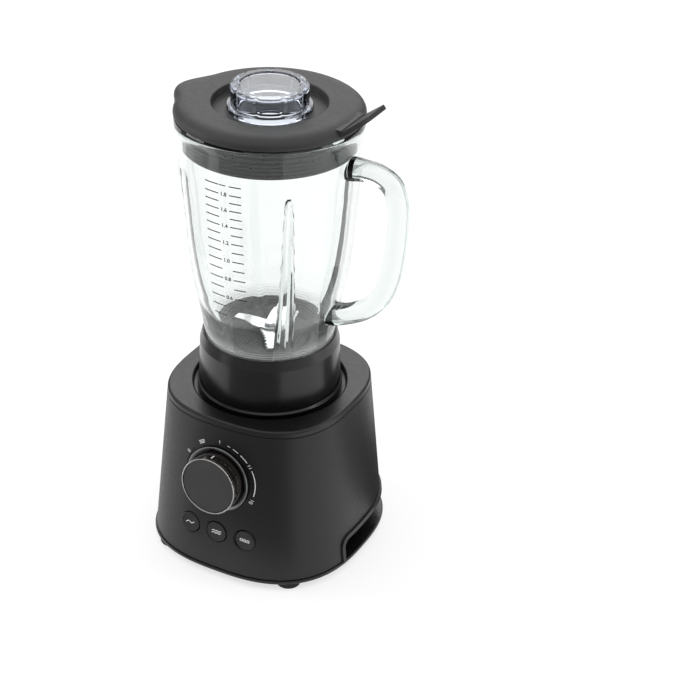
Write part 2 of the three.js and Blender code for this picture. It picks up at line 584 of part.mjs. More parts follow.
function jugCollar() {
  const c = COLLAR;
  return revolve([
    [c.footRadius, c.bottom], [c.footRadius, 159.7], [c.shoulderRadius, c.shoulder], [c.topRadius, c.top],
    [c.bore, c.top], [c.bore, c.ledgeTop], [c.ledgeBore, c.ledgeTop], [c.ledgeBore, c.ledgeBottom],
    [c.shoulderRadius - c.skirtWall, c.ledgeBottom], [c.footRadius - c.skirtWall, c.bottom],
  ], COARSE);
}
add('jug_collar', jugCollar(), 'collar');

add('jug_seal', tube(CARRIER.radius + GAP, CARRIER.flange - 0.6, SEAL.bottom, SEAL.top, COARSE), 'rubber');

function bladeCarrier() {
  const c = CARRIER;
  return revolve([
    [BUSH.seat, c.hubBottom], [c.hub, c.hubBottom], [c.hub, c.top - c.skin],
    [c.radius - c.skin, c.top - c.skin], [c.radius - c.skin, c.flangeBottom],
    [c.flange, c.flangeBottom], [c.flange, c.flangeTop], [c.radius, c.flangeTop],
    [c.radius, c.top - 1], [c.radius - 1, c.top], [c.hub + 4, c.top],
    [c.hub, c.hubTop], [BUSH.seat, c.hubTop],
  ], COARSE);
}
add('blade_carrier', bladeCarrier(), 'carrier');
add('shaft_bush', tube(shaftBore, BUSH.outer, CARRIER.hubBottom + 1, CARRIER.hubTop - 0.6, 20), 'bronze');
add('blade_shaft', cylinder(SHAFT.radius, BLADE_SHAFT.bottom, BLADE_SHAFT.top), 'steel');

/** The toothed arm: its plain edge and tip, then the teeth along its other edge, back to the hub. */
function toothedArm() {
  const outline = [...TOOTHED_ARM];
  const [reach] = TOOTHED_ARM.at(-1);
  for (let k = TEETH.count; k > 0; k--) {
    const along = (reach * k) / TEETH.count;
    const across = TEETH.rootAcross + (TEETH.tipAcross - TEETH.rootAcross) * (k / TEETH.count);
    outline.push([along, across], [along - TEETH.length, across - TEETH.depth]);
  }
  return [...outline, [0, TEETH.rootAcross]];
}

/** Blade: a hub disc with two arms of one outline, each arm lifted and turned by its own angles. */
function blade(low, outline, lifts, turns) {
  const shape = new THREE.Shape(outline.map(([x, y]) => new THREE.Vector2(x, y)));
  const arm = extrude(shape, 0, BLADE.thickness);
  const arms = lifts.map((lift, i) =>
    arm.rotate([0, -lift, 0]).translate([BLADE.root, 0, low]).rotate([0, 0, turns[i]]));
  const hub = cylinder(BLADE.hub, low, low + BLADE.thickness, 20);
  const bore = cylinder(SHAFT.radius + RUNNING, low - 9, low + 20);
  return cut(join(hub, ...arms), bore);
}
const mirrored = (outline) => outline.map(([x, y]) => [x, -y]).reverse();
add('lower_blade', blade(BLADE.low, mirrored(toothedArm()), ARM_LIFTS.lower, ARM_TURNS.lower), 'steel');
add('upper_blade', blade(BLADE.high, PLAIN_ARM, ARM_LIFTS.upper, ARM_TURNS.upper), 'steel');

add('blade_nut', cut(cylinder(NUT.radius, NUT.bottom, NUT.top, 6),
  cylinder(shaftBore, NUT.bottom - 1, BLADE_SHAFT.top + GAP)), 'steel');

// ---------------------------------------------------------------- lid

function lid() {
  const l = LID;
  const plan = (r, z, angle) => r + lipReach(angle) * smooth(r, l.plugRadius + 2, l.radius - 1);
  const body = revolve([
    [l.radius, l.bottom], [l.radius, l.sideTop], [l.radius - 1, l.top - 4.4], [l.radius - 3.5, l.top - 2],
    [l.radius - 7.45, l.top - 0.6],
    [l.recessRadius + 1.3, l.top], [l.recessRadius, l.top - 1], [l.recessRadius - 0.8, l.recessFloor + 0.4],
    [l.neck, l.recessFloor], [l.neck, l.neckBottom], [l.neck + l.neckWall, l.neckBottom],
    [l.neck + l.neckWall, l.recessFloor - l.skin], [l.recessRadius + 2, l.recessFloor - l.skin],
    [l.recessRadius + 3, l.top - l.skin], [l.plugRadius - l.plugWall, l.top - l.skin],
    [l.plugRadius - l.plugWall, l.plugBottom], [l.plugRadius, l.plugBottom], [l.plugRadius, l.bottom],
  ], COARSE, plan);
  const side = TAB.width / 2;
  const plate = new THREE.Shape([
    [0, -side], [TAB.length - TAB.cornerCut, -side], [TAB.length - 3, -side + 4],
    [TAB.length, -side + TAB.cornerCut], [TAB.length, side], [0, side],
  ].map(([x, y]) => new THREE.Vector2(x, y)));
  const tab = extrude(plate, 0, TAB.thickness)
    .rotate([0, -THREE.MathUtils.radToDeg(TAB.rise), 0]).translate([TAB.root, 0, TAB.rootHeight]);
  const aboveGlass = box([0, -60, l.bottom], [200, 60, 500]);
  const pad = box([TAB.padStart, -side, TAB.padBottom], [TAB.padEnd, side, TAB.padTop]);
  return join(body, tab.intersect(aboveGlass), pad);
}
add('lid', lid(), 'lid');

function lidGasket() {
  const profile = [[GASKET.inner, GASKET.bottom]];
  const pitch = (GASKET.top - GASKET.bottom) / GASKET.ribs;
  for (let i = 0; i < GASKET.ribs; i++) {
    const z = GASKET.bottom + i * pitch;
    profile.push([GASKET.valley, z], [GASKET.crest, z + pitch * 0.35], [GASKET.crest, z + pitch * 0.65]);
  }
  profile.push([GASKET.valley, GASKET.top], [GASKET.inner, GASKET.top]);
  return revolve(profile, COARSE);
}
add('lid_gasket', lidGasket(), 'gasket');

function measuringCap() {
  const c = CAP;
  const lobes = (r, z, angle) => {
    const onGrip = z > c.flangeTop + 1 && r > c.panel + 3;
    return onGrip ? r - c.lobeDepth * ((1 + Math.cos(c.lobes * angle)) / 2) ** 4 : r;
  };
  return revolve([
    [c.tube, c.bottom], [c.tube, c.flangeBottom], [c.flange, c.flangeBottom],
    [c.flange, c.flangeTop - 0.8], [c.flange - 0.8, c.flangeTop],
    [c.grip - 1.6, c.flangeTop + 1.4], [c.grip, c.flangeTop + 3], [c.grip, c.gripTop - 1],
    [c.grip - 1.6, c.top - 0.4], [c.panel + 2, c.top], [c.panel, c.top - 1],
    [0, c.top - 1], [0, c.top - 1 - c.skin],
    [c.bore, c.top - 1 - c.skin], [c.bore, c.bottom],
  ], 4 * c.lobes, lobes);
}
add('measuring_cap', measuringCap(), 'clear');

// ---------------------------------------------------------------- placing

// The handle and the dial reach out past the base, so the group is moved until its footprint is centred.
blender.updateMatrixWorld(true);
const extent = new THREE.Box3().setFromObject(blender, true);
const centre = extent.getCenter(new THREE.Vector3());
blender.position.set(-centre.x, -centre.y, -extent.min.z);
blender.updateMatrixWorld(true);

export default blender;
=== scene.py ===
"""Countertop blender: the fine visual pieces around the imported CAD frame, with studio light and a camera."""
import json
from math import cos, pi, radians, sin, tan
from types import SimpleNamespace as Sizes

import bmesh
import bpy
import numpy as np
from mathutils import Matrix, Vector


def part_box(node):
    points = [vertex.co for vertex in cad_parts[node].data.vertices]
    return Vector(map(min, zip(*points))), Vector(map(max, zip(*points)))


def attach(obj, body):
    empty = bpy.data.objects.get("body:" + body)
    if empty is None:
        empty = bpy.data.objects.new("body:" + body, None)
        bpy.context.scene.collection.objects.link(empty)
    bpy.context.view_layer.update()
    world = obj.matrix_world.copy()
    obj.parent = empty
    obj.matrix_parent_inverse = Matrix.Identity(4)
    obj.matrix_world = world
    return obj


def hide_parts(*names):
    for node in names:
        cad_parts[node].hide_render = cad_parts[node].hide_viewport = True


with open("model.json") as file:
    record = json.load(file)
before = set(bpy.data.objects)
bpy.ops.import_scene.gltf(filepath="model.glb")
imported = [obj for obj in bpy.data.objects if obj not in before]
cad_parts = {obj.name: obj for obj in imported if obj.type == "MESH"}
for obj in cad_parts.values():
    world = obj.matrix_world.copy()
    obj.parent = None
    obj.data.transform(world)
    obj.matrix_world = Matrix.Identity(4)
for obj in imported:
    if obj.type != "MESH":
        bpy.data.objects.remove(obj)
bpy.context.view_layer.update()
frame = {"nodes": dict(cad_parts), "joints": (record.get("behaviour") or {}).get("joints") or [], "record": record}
SCENE = bpy.context.scene
MM = 0.001


# ---- places taken from the frame, in millimetres

def measure(node):
    """Centre, half width, front edge and heights of a CAD node."""
    low, high = (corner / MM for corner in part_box(node))
    return Sizes(x=(low.x + high.x) / 2, y=(low.y + high.y) / 2, low=low.z, high=high.z,
                 radius=(high.x - low.x) / 2, front=low.y)


JOINTS = {joint["name"]: joint for joint in frame["joints"]}
COLLAR = measure("jug_collar")
AXIS = Vector((COLLAR.x, COLLAR.y, 0))
PLATE = measure("bottom_plate")
DECK = measure("top_deck")
SHELL = measure("housing")
LID = measure("lid")
CAP = measure("measuring_cap")

# Rounded-square plan of the base: |x|^p + |y|^p = half^p, narrowing upwards.
SQUARE_POWER = 2.66
SHELL_INSET = 1.3  # of the housing's foot behind the bottom plate's rim
SHELL_HALF = PLATE.radius - SHELL_INSET
DECK_RIM = 152.4
SLOPE = (SHELL_HALF - DECK.radius) / (DECK_RIM - SHELL.low)


def half_at(z):
    """Half width of the base at a height."""
    return SHELL_HALF - (z - SHELL.low) * SLOPE


def squareness(angle):
    """Radius of the rounded square of half width 1 at an angle round it."""
    p = SQUARE_POWER
    return (np.abs(np.cos(angle)) ** p + np.abs(np.sin(angle)) ** p) ** (-1 / p)


# Frame of the front panel at the dial: +Z out of the face, +Y up along it.
DIAL_ORIGIN = Vector(JOINTS["dial_turn"]["pos_m"]) / MM
OUTWARD = -Vector(JOINTS["dial_turn"]["axis"]).normalized()
UPWARD = (Vector((0, 0, 1)) - OUTWARD * OUTWARD.z).normalized()


def axes(x, y, z, origin):
    """Matrix that takes the axes to the given ones, and the origin to another."""
    turn = Matrix((x, y, z)).transposed().to_4x4()
    return Matrix.Translation(origin) @ turn


def around(turn, radius=1.0, z=0.0):
    """Point on a circle about the Z axis."""
    return Vector((radius * cos(turn), radius * sin(turn), z))


PANEL = axes((1, 0, 0), UPWARD, OUTWARD, DIAL_ORIGIN)
UPRIGHT = Matrix.Translation(AXIS)

# ---- mesh making

FILLET_SHARE = 0.46  # the most of an edge that the fillet at one of its ends may use
NO_GUARD = 500.0  # a guard distance longer than any edge
ON_AXIS = 1e-9  # smaller radii count as the axis itself


def rounded(corners, closed=True, steps=5, guard=0.5):
    """Outline through corners (r, z, fillet) with round corners.

    A long edge gets a point at the guard distance from each of its ends.
    """
    count = len(corners)
    arcs = []
    for i, (r, z, fillet) in enumerate(corners):
        here = Vector((r, z))
        if fillet <= 0 or (not closed and i in (0, count - 1)):
            arcs.append([here])
            continue
        to_last = Vector(corners[i - 1][:2]) - here
        to_next = Vector(corners[(i + 1) % count][:2]) - here
        half = to_last.angle(to_next) / 2
        reach = min(fillet / tan(half), FILLET_SHARE * to_last.length, FILLET_SHARE * to_next.length)
        start = here + to_last.normalized() * reach
        end = here + to_next.normalized() * reach
        middle = (to_last.normalized() + to_next.normalized()).normalized()
        centre = here + middle * (reach / cos(half))
        bend = []
        for k in range(steps + 1):
            ray = (start - centre).lerp(end - centre, k / steps).normalized()
            bend.append(centre + ray * (start - centre).length)
        arcs.append(bend)
    outline = []
    for i, bend in enumerate(arcs):
        outline += bend
        if not closed and i == count - 1:
            break
        gap = arcs[(i + 1) % count][0] - bend[-1]
        if gap.length > 4 * guard:
            way = gap.normalized() * guard
            outline += [bend[-1] + way, arcs[(i + 1) % count][0] - way]
    return [(point.x, point.y) for point in outline]


def in_scene(name, data):
    made = bpy.data.objects.new(name, data)
    SCENE.collection.objects.link(made)
    return made


def make_object(name, vertices, faces, material, smooth=38):
    """Object from vertices in metres; edges sharper than the smooth angle stay sharp."""
    mesh = bpy.data.meshes.new(name)
    mesh.from_pydata([tuple(v) for v in vertices], [], faces)
    mesh.validate()
    piece = in_scene(name, mesh)
    mesh.materials.append(material)
    shade(piece, smooth)
    return piece


def shade(piece, smooth=38):
    mesh = piece.data
    mesh.polygons.foreach_set("use_smooth", [True] * len(mesh.polygons))
    mesh.set_sharp_from_angle(angle=radians(smooth))
    mesh.update()


def closed_body(name, vertices, faces, material, place, smooth=38):
    """Closed body from vertices in the place's frame in millimetres; a negative volume turns it outwards."""
    placed = [tuple((place @ Vector(v)) * MM) for v in vertices]
    piece = make_object(name, placed, faces, material, smooth)
    mesh = piece.data
    mesh.calc_loop_triangles()
    points = np.empty(len(mesh.vertices) * 3)
    mesh.vertices.foreach_get("co", points)
    corners = np.empty(len(mesh.loop_triangles) * 3, dtype=np.int32)
    mesh.loop_triangles.foreach_get("vertices", corners)
    a, b, c = (points.reshape(-1, 3)[corners.reshape(-1, 3)[:, k]] for k in range(3))
    if np.einsum("ij,ij->i", a, np.cross(b, c)).sum() < 0:
        mesh.flip_normals()
        shade(piece, smooth)
    return piece


def revolve(name, outline, material, segments=128, reshape=None, place=UPRIGHT, smooth=38, angles=None):
    """Closed body of revolution about the place's Z axis.

    The outline (r, z) in millimetres closes on itself, or starts and ends on the axis.
    reshape(r, z, angle) gives each ring another radius round its turn.
    """
    if angles is None:
        angles = np.arange(segments) * 2 * np.pi / segments
    count = len(angles)
    open_ended = outline[0][0] < ON_AXIS
    rings, vertices = [], []
    for r, z in outline:
        if r < ON_AXIS:
            rings.append([len(vertices)])
            vertices.append((0.0, 0.0, z))
            continue
        radii = np.full(count, r) if reshape is None else reshape(r, z, angles)
        rings.append(list(range(len(vertices), len(vertices) + count)))
        vertices += list(zip(radii * np.cos(angles), radii * np.sin(angles), np.full(count, z)))
    faces = []
    pairs = list(zip(rings, rings[1:])) + ([] if open_ended else [(rings[-1], rings[0])])
    for low, high in pairs:
        for k in range(count):
            (a, b), (d, c) = ((ring[k % len(ring)], ring[(k + 1) % len(ring)]) for ring in (low, high))
            corners = tuple(dict.fromkeys((a, b, c, d)))
            if len(corners) > 2:
                faces.append(corners)
    return closed_body(name, vertices, faces, material, place, smooth)


def prism(name, outline, low, high, material, place=UPRIGHT):
    """Body between two heights of the place's Z axis, with the given plan outline."""
    count = len(outline)
    vertices = [(x, y, z) for z in (low, high) for x, y in outline]
    faces = [tuple(range(count - 1, -1, -1)), tuple(range(count, 2 * count))]
    faces += [(k, (k + 1) % count, count + (k + 1) % count, count + k) for k in range(count)]
    return closed_body(name, vertices, faces, material, place)


def settle(piece, smooth=38):
    """Applies the modifiers to the mesh."""
    evaluated = piece.evaluated_get(bpy.context.evaluated_depsgraph_get())
    mesh = bpy.data.meshes.new_from_object(evaluated)
    old = piece.data
    piece.modifiers.clear()
    piece.data = mesh
    mesh.name = piece.name
    bpy.data.meshes.remove(old)
    shade(piece, smooth)
    return piece


def combine(piece, operation, *tools, smooth=38):
    """Joins or cuts a piece with closed tools, which are used up."""
    for tool in tools:
        modifier = piece.modifiers.new("combine", "BOOLEAN")
        modifier.operation = operation
        modifier.solver = "MANIFOLD"
        modifier.object = tool
        bpy.context.view_layer.update()
        settle(piece, smooth)
        mesh = tool.data
        bpy.data.objects.remove(tool)
        bpy.data.meshes.remove(mesh)
    return piece


def cut(piece, *tools, smooth=38):
    return combine(piece, "DIFFERENCE", *tools, smooth=smooth)


def join(piece, *tools, smooth=38):
    return combine(piece, "UNION", *tools, smooth=smooth)


def softened(piece, width, segments=3):
    """Rounds all sharp edges by a width in millimetres."""
    modifier = piece.modifiers.new("soften", "BEVEL")
    modifier.width, modifier.segments = width * MM, segments
    return settle(piece)


def weighted(piece):
    """Shades the large faces flat, so that only the fillets between them look round."""
    modifier = piece.modifiers.new("even_normals", "WEIGHTED_NORMAL")
    modifier.keep_sharp = True
    modifier.weight = 80
    return piece


def fit(piece, body, *nodes, slot):
    """Rides a finished piece on its CAD body in place of the CAD nodes."""
    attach(piece, body)
    if nodes:
        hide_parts(*nodes)


# ---- materials

PATCHES, MARKS_OF_USE = 38.0, 210.0  # noise scales of uneven colour and of handling marks


def wire(tree, made, **inputs):
    """Sets a node's inputs to values, or links them to other nodes' outputs."""
    for name, value in inputs.items():
        socket = made.inputs[name.replace("_", " ")]
        if isinstance(value, bpy.types.NodeSocket):
            tree.links.new(value, socket)
        else:
            socket.default_value = value
    return made


def node(tree, kind, **inputs):
    return wire(tree, tree.nodes.new(kind), **inputs)


def noise(tree, vector, scale, detail=3.0, rough=0.55):
    made = node(tree, "ShaderNodeTexNoise", Vector=vector, Scale=scale, Detail=detail, Roughness=rough)
    return made.outputs["Fac"]


def wave(tree, vector, pitch, distortion):
    """Wave texture with one line every pitch millimetres."""
    scale = 2 * pi / (20 * pitch * MM)
    return node(tree, "ShaderNodeTexWave", Vector=vector, Scale=scale, Distortion=distortion)


def spread(tree, value, low, high):
    """Maps the middle of a noise onto a range."""
    made = node(tree, "ShaderNodeMapRange", Value=value, From_Min=0.3, From_Max=0.7, To_Min=low, To_Max=high)
    return made.outputs["Result"]


def shades(tree, value, dark, light):
    """Maps the middle of a noise onto the colours between two."""
    ramp = node(tree, "ShaderNodeValToRGB", Fac=value)
    for element, position, colour in zip(ramp.color_ramp.elements, (0.3, 0.7), (dark, light)):
        element.position = position
        element.color = (*colour, 1)
    return ramp.outputs["Color"]


def bump(tree, height, depth):
    """Normals of a height field that is depth millimetres deep."""
    return node(tree, "ShaderNodeBump", Height=height, Strength=1.0, Distance=depth * MM).outputs["Normal"]


def scaled(colour, share):
    return [channel * share for channel in colour]


def blank(name, **sockets):
    """New material: its tree, its shader and its object coordinates."""
    material = bpy.data.materials.new(name)
    material.use_nodes = True
    tree = material.node_tree
    shader = wire(tree, tree.nodes["Principled BSDF"], **sockets)
    return material, tree, shader, tree.nodes.new("ShaderNodeTexCoord").outputs["Object"]


def plastic(name, colour, roughness, grain=0.45, depth=0.02, vary=0.08, wear=0.05, **sockets):
    """Moulded plastic: spark-eroded grain of the given size and depth in mm, with faint handling marks."""
    material, tree, shader, spot = blank(name, **sockets)
    grains = noise(tree, spot, 1 / (grain * MM), 2.0)
    patches = noise(tree, spot, PATCHES, 4.0)
    marks = noise(tree, spot, MARKS_OF_USE, 5.0, 0.7)
    wire(tree, shader,
         Base_Color=shades(tree, patches, scaled(colour, 1 - vary), scaled(colour, 1 + vary)),
         Roughness=spread(tree, marks, roughness - wear, roughness + wear),
         Normal=bump(tree, grains, depth))
    return material


def brushed(name, colour, roughness, stretch, depth=0.006, **sockets):
    """Metal with fine lines; stretch gives the noise scale along each axis."""
    material, tree, shader, spot = blank(name, Metallic=1.0, **sockets)
    mapping = node(tree, "ShaderNodeMapping", Vector=spot, Scale=stretch)
    lines = noise(tree, mapping.outputs["Vector"], 1.0, 4.0, 0.6)
    wire(tree, shader,
         Base_Color=shades(tree, lines, scaled(colour, 0.82), colour),
         Roughness=spread(tree, lines, roughness - 0.07, roughness + 0.1),
         Normal=bump(tree, lines, depth))
    return material


CLOUD_PITCH = 2.6  # of the moulded lines in the glass foot


def clear(name, colour, ior, ripple, depth, tint, density, cloud=None):
    """Clear glass or plastic with a faint moulded ripple; tint and density colour its thick parts.

    cloud (share, full below, none above) scatters some light in the thick foot, heights in mm.
    """
    material, tree, shader, spot = blank(
        name, Base_Color=(*colour, 1), Transmission_Weight=1.0, IOR=ior, Roughness=0.0)
    inside = node(tree, "ShaderNodeVolumeAbsorption", Color=(*tint, 1), Density=density)
    wire(tree, tree.nodes["Material Output"], Volume=inside.outputs["Volume"])
    wire(tree, shader, Normal=bump(tree, noise(tree, spot, 1 / (ripple * MM), 1.5), depth))
    if cloud:
        share, full, none = cloud
        height = node(tree, "ShaderNodeSeparateXYZ", Vector=spot).outputs["Z"]
        lines = wave(tree, spot, CLOUD_PITCH, 0.6)
        lines.bands_direction = "Z"
        thick = spread(tree, lines.outputs["Fac"], 1 - share, 1 - share / 2)
        fade = node(tree, "ShaderNodeMapRange", Value=height, From_Min=full * MM, From_Max=none * MM,
                    To_Min=thick, To_Max=1.0)
        fade.interpolation_type = "SMOOTHSTEP"
        wire(tree, shader, Transmission_Weight=fade.outputs["Result"])
    return material


def turned(name, colour, roughness, pitch, depth):
    """Plastic with fine raised circles about the blade axis, pitch and depth in mm; the colour also darkens to
    half in each circle's trough, as painted shade.
    """
    material, tree, shader, spot = blank(name)
    mapping = node(tree, "ShaderNodeMapping", Vector=spot, Location=(-AXIS.x * MM, -AXIS.y * MM, 0))
    rings = wave(tree, mapping.outputs["Vector"], pitch, 0.0)
    rings.wave_type = "RINGS"
    rings.rings_direction = "Z"
    marks = noise(tree, spot, MARKS_OF_USE, 5.0, 0.7)
    # Painted shade: the base colour follows the rings, darker in their troughs and lighter on their crests.
    wire(tree, shader,
         Base_Color=shades(tree, rings.outputs["Fac"], scaled(colour, 0.5), colour),
         Roughness=spread(tree, marks, roughness - 0.05, roughness + 0.05),
         Normal=bump(tree, rings.outputs["Fac"], depth))
    return material


HOUSING = plastic("housing_plastic", (0.006, 0.006, 0.0062), 0.42, grain=0.4, depth=0.012,
                  Specular_IOR_Level=0.45)
DECK_TOP = plastic("deck_plastic", (0.005, 0.005, 0.0052), 0.36, grain=0.4, depth=0.012)
# Near-black, dull plastic for the inside of the cord channel: painted shade of the channel's depth, not the
# housing's own colour.
RECESS_PAINTED_SHADE = plastic("recess_painted_shade", (0.002, 0.002, 0.002), 0.7, grain=0.4, Specular_IOR_Level=0.15)
LID_TOP = plastic("lid_plastic", (0.028, 0.028, 0.028), 0.52, grain=0.35, depth=0.022)
SATIN = plastic("collar_plastic", (0.004, 0.004, 0.0042), 0.24, grain=0.9, depth=0.0003, wear=0.03)
TRIM = plastic("trim_plastic", (0.006, 0.006, 0.0062), 0.3, grain=0.5, depth=0.006)
KEY = plastic("key_plastic", (0.012, 0.012, 0.012), 0.42, grain=0.35, depth=0.012)
SMOKY = plastic("smoky_gloss", (0.012, 0.009, 0.008), 0.1, grain=2.0, depth=0.008, wear=0.04, Coat_Weight=0.6)
FACE = plastic("knob_face_plastic", (0.042, 0.042, 0.042), 0.45, grain=0.3, depth=0.016)
RUBBER = plastic("black_rubber", (0.012, 0.012, 0.012), 0.75, grain=0.7, depth=0.03)
WET_RUBBER = plastic("gasket_rubber", (0.004, 0.004, 0.0045), 0.24, grain=0.8, depth=0.002,
                     Specular_IOR_Level=0.35)
CARRIER = turned("carrier_plastic", (0.085, 0.088, 0.09), 0.3, 2.4, 0.12)
HARD_RUBBER = plastic("coupler_rubber", (0.018, 0.018, 0.018), 0.6, grain=0.6, depth=0.02)
NYLON = plastic("nylon", (0.6, 0.58, 0.52), 0.5, grain=0.8, depth=0.01)
BOARD = plastic("circuit_board", (0.03, 0.14, 0.06), 0.4, grain=0.6, depth=0.01, vary=0.3)
INK_WHITE = plastic("white_print", (0.85, 0.85, 0.85), 0.5, grain=0.2, depth=0.004)
INK_DARK = plastic("dark_print", (0.012, 0.013, 0.014), 0.5, grain=0.2, depth=0.004)
CHROME = brushed("ring_chrome", (0.8, 0.76, 0.74), 0.14, (60, 60, 60), 0.001)
BEZEL = brushed("bezel_metal", (0.36, 0.36, 0.37), 0.3, (60, 60, 60), 0.001)
STEEL = brushed("brushed_steel", (0.72, 0.72, 0.73), 0.24, (90, 1500, 900))
BLADE_STEEL = brushed("blade_steel", (0.93, 0.93, 0.94), 0.3, (400, 400, 400), 0.004)
COPPER = brushed("winding_copper", (0.62, 0.3, 0.15), 0.35, (200, 200, 2600), 0.02)
BRONZE = brushed("sintered_bronze", (0.52, 0.38, 0.18), 0.4, (700, 700, 700), 0.01)
LAMINATE = brushed("stacked_steel", (0.32, 0.32, 0.33), 0.45, (60, 60, 2000), 0.02)
GLASS = clear("jug_glass", (0.99, 1.0, 0.997), 1.5, 26, 0.05, tint=(0.2, 0.4, 0.34), density=9.0,
              cloud=(0.3, 211, 226))
CLEAR = clear("cap_plastic", (0.93, 0.95, 0.99), 1.49, 14, 0.02, tint=(0.4, 0.5, 0.72), density=20.0)

# ---- camera, floor and light

# The camera's angles in degrees round its target, which lies aside of the blade axis and above the table.
CAMERA = Sizes(
    azimuth=27.74, elevation=31.17, roll=1.307, distance=1.6116, aside=0.0616, height=0.1973, lens=97.0)
TABLE_GLOW = 0.68
TABLE_HALF = 20.0  # so large that the table's edge is never in view


def make_camera():
    """Looks at the blender from the front, a little from its handle's side and from above."""
    turn, tilt, roll = (radians(angle) for angle in (CAMERA.azimuth, CAMERA.elevation, CAMERA.roll))
    level = around(turn)
    back = Vector((sin(turn) * cos(tilt), -cos(turn) * cos(tilt), sin(tilt)))
    upright = back.cross(level)
    right = level * cos(roll) + upright * sin(roll)
    up = upright * cos(roll) - level * sin(roll)
    target = AXIS * MM + level * CAMERA.aside + Vector((0, 0, CAMERA.height))
    data = bpy.data.cameras.new("camera")
    data.lens = CAMERA.lens
    data.sensor_width = 36.0
    camera = in_scene("camera", data)
    camera.matrix_world = axes(right, up, back, target + back * CAMERA.distance)
    SCENE.camera = camera


def matt(name, dark, light, scale, **sockets):
    """Matt stage material between two greys."""
    material, tree, shader, spot = blank(name, Roughness=0.9, **sockets)
    wire(tree, shader, Base_Color=shades(tree, noise(tree, spot, scale, 2.0), (dark,) * 3, (light,) * 3))
    return material


def make_floor():
    """Pale table that glows a little, so that shadows stay light."""
    material = matt("floor_white", 0.43, 0.45, 3.0, Emission_Color=(1, 1, 1, 1), Emission_Strength=TABLE_GLOW)
    half = TABLE_HALF
    vertices = [(-half, -half, 0), (half, -half, 0), (half, half, 0), (-half, half, 0)]
    make_object("floor", vertices, [(0, 1, 2, 3)], material)


def soft_box(name, place, width, height, power, on_surfaces=True):
    """Rectangular light towards the jug; without on_surfaces only reflections and the glass show it."""
    data = bpy.data.lights.new(name, "AREA")
    data.shape = "RECTANGLE"
    data.size, data.size_y, data.energy = width, height, power
    light = in_scene(name, data)
    light.location = place
    light.visible_diffuse = on_surfaces
    light.rotation_euler = (Vector((0, 0, 0.2)) - Vector(place)).to_track_quat("-Z", "Y").to_euler()


def reflected_only(name, vertices, faces, material):
    """Stage piece that nothing but reflections shows."""
    card = make_object(name, vertices, faces, material)
    card.visible_camera = card.visible_diffuse = card.visible_transmission = card.visible_shadow = False


def side_card(name, aside, low, high, material):
    """Upright card beside the view, which gives the glass a darker edge."""
    near, far = -0.1, 0.16
    level = around(radians(CAMERA.azimuth))
    away = Vector((-level.y, level.x, 0))
    corners = [AXIS * MM + level * aside + away * depth for depth in (near, far)]
    vertices = [corner + Vector((0, 0, z)) for z in (low, high) for corner in corners]
    reflected_only(name, vertices, [(0, 1, 3, 2)], material)


def table_card(name, start, end, near, far, material):
    """Cloth on the table, between two angles in degrees to the right of the camera and two distances."""
    steps, lift = 12, 0.003
    turns = [radians(CAMERA.azimuth - 90 + start + (end - start) * k / steps) for k in range(steps + 1)]
    vertices = [AXIS * MM + around(turn, reach, lift) for reach in (near, far) for turn in turns]
    faces = [(k, k + 1, k + steps + 2, k + steps + 1) for k in range(steps)]
    reflected_only(name, vertices, faces, material)


def felt(name, level):
    return matt(name, level * 0.9, level * 1.1, 40.0)


def make_cards():
    grey = felt("card_grey", 0.5)
    side_card("card_left", -0.34, 0.1, 0.5, grey)
    side_card("card_right", 0.44, 0.26, 0.5, grey)
    table_card("cloth_front", -62, 18, 0.16, 3.0, felt("cloth_grey", 0.37))
    dark = felt("cloth_dark", 0.12)
    table_card("cloth_right", 92, 165, 0.12, 0.25, dark)
    table_card("cloth_right_far", 92, 117, 0.25, 0.45, dark)


def make_light():
    """Even light from above, and soft boxes for the glass and the sides."""
    world = bpy.data.worlds.new("studio")
    world.use_nodes = True
    wire(world.node_tree, world.node_tree.nodes["Background"], Color=(1, 1, 1, 1), Strength=0.2)
    SCENE.world = world
    data = bpy.data.lights.new("overhead", "SUN")
    data.energy = 1.75
    data.angle = radians(110)
    in_scene("overhead", data).rotation_euler = (radians(-8), 0, 0)
    soft_box("back", (-1.3, 2.4, 1.6), 2.8, 1.6, 24, on_surfaces=False)
    soft_box("left", (-1.5, -0.5, 0.7), 0.8, 1.3, 10)
    soft_box("right", (1.4, 0.5, 0.7), 0.5, 1.3, 5)
    view = SCENE.view_settings
    view.view_transform = "Standard"
    view.look = "None"
    cycles = SCENE.cycles
    cycles.max_bounces = 24
    cycles.transmission_bounces = 20
    cycles.transparent_max_bounces = 16
    cycles.caustics_refractive = False
    cycles.caustics_reflective = False


# ---- curves and thin prints

def flowing(points, spacing=2.5):
    """Smooth curve through the points, with a point about every spacing millimetres."""
    points = np.array(points, float)
    lengths = np.linalg.norm(np.diff(points, axis=0), axis=1)
    slopes = np.gradient(points, np.concatenate([[0], np.cumsum(lengths)]), axis=0)
    curve = []
    for i, length in enumerate(lengths):
        steps = max(1, round(length / spacing))
        for t in np.arange(steps) / steps:
            curve.append(
                (2 * t**3 - 3 * t**2 + 1) * points[i] + (t**3 - 2 * t**2 + t) * length * slopes[i]
                + (3 * t**2 - 2 * t**3) * points[i + 1] + (t**3 - t**2) * length * slopes[i + 1])
    return [tuple(point) for point in curve + [points[-1]]]


def smoothstep(value, low, high):
    """Rises softly from 0 at low to 1 at high."""
    t = np.clip((value - low) / (high - low), 0, 1)
    return t * t * (3 - 2 * t)


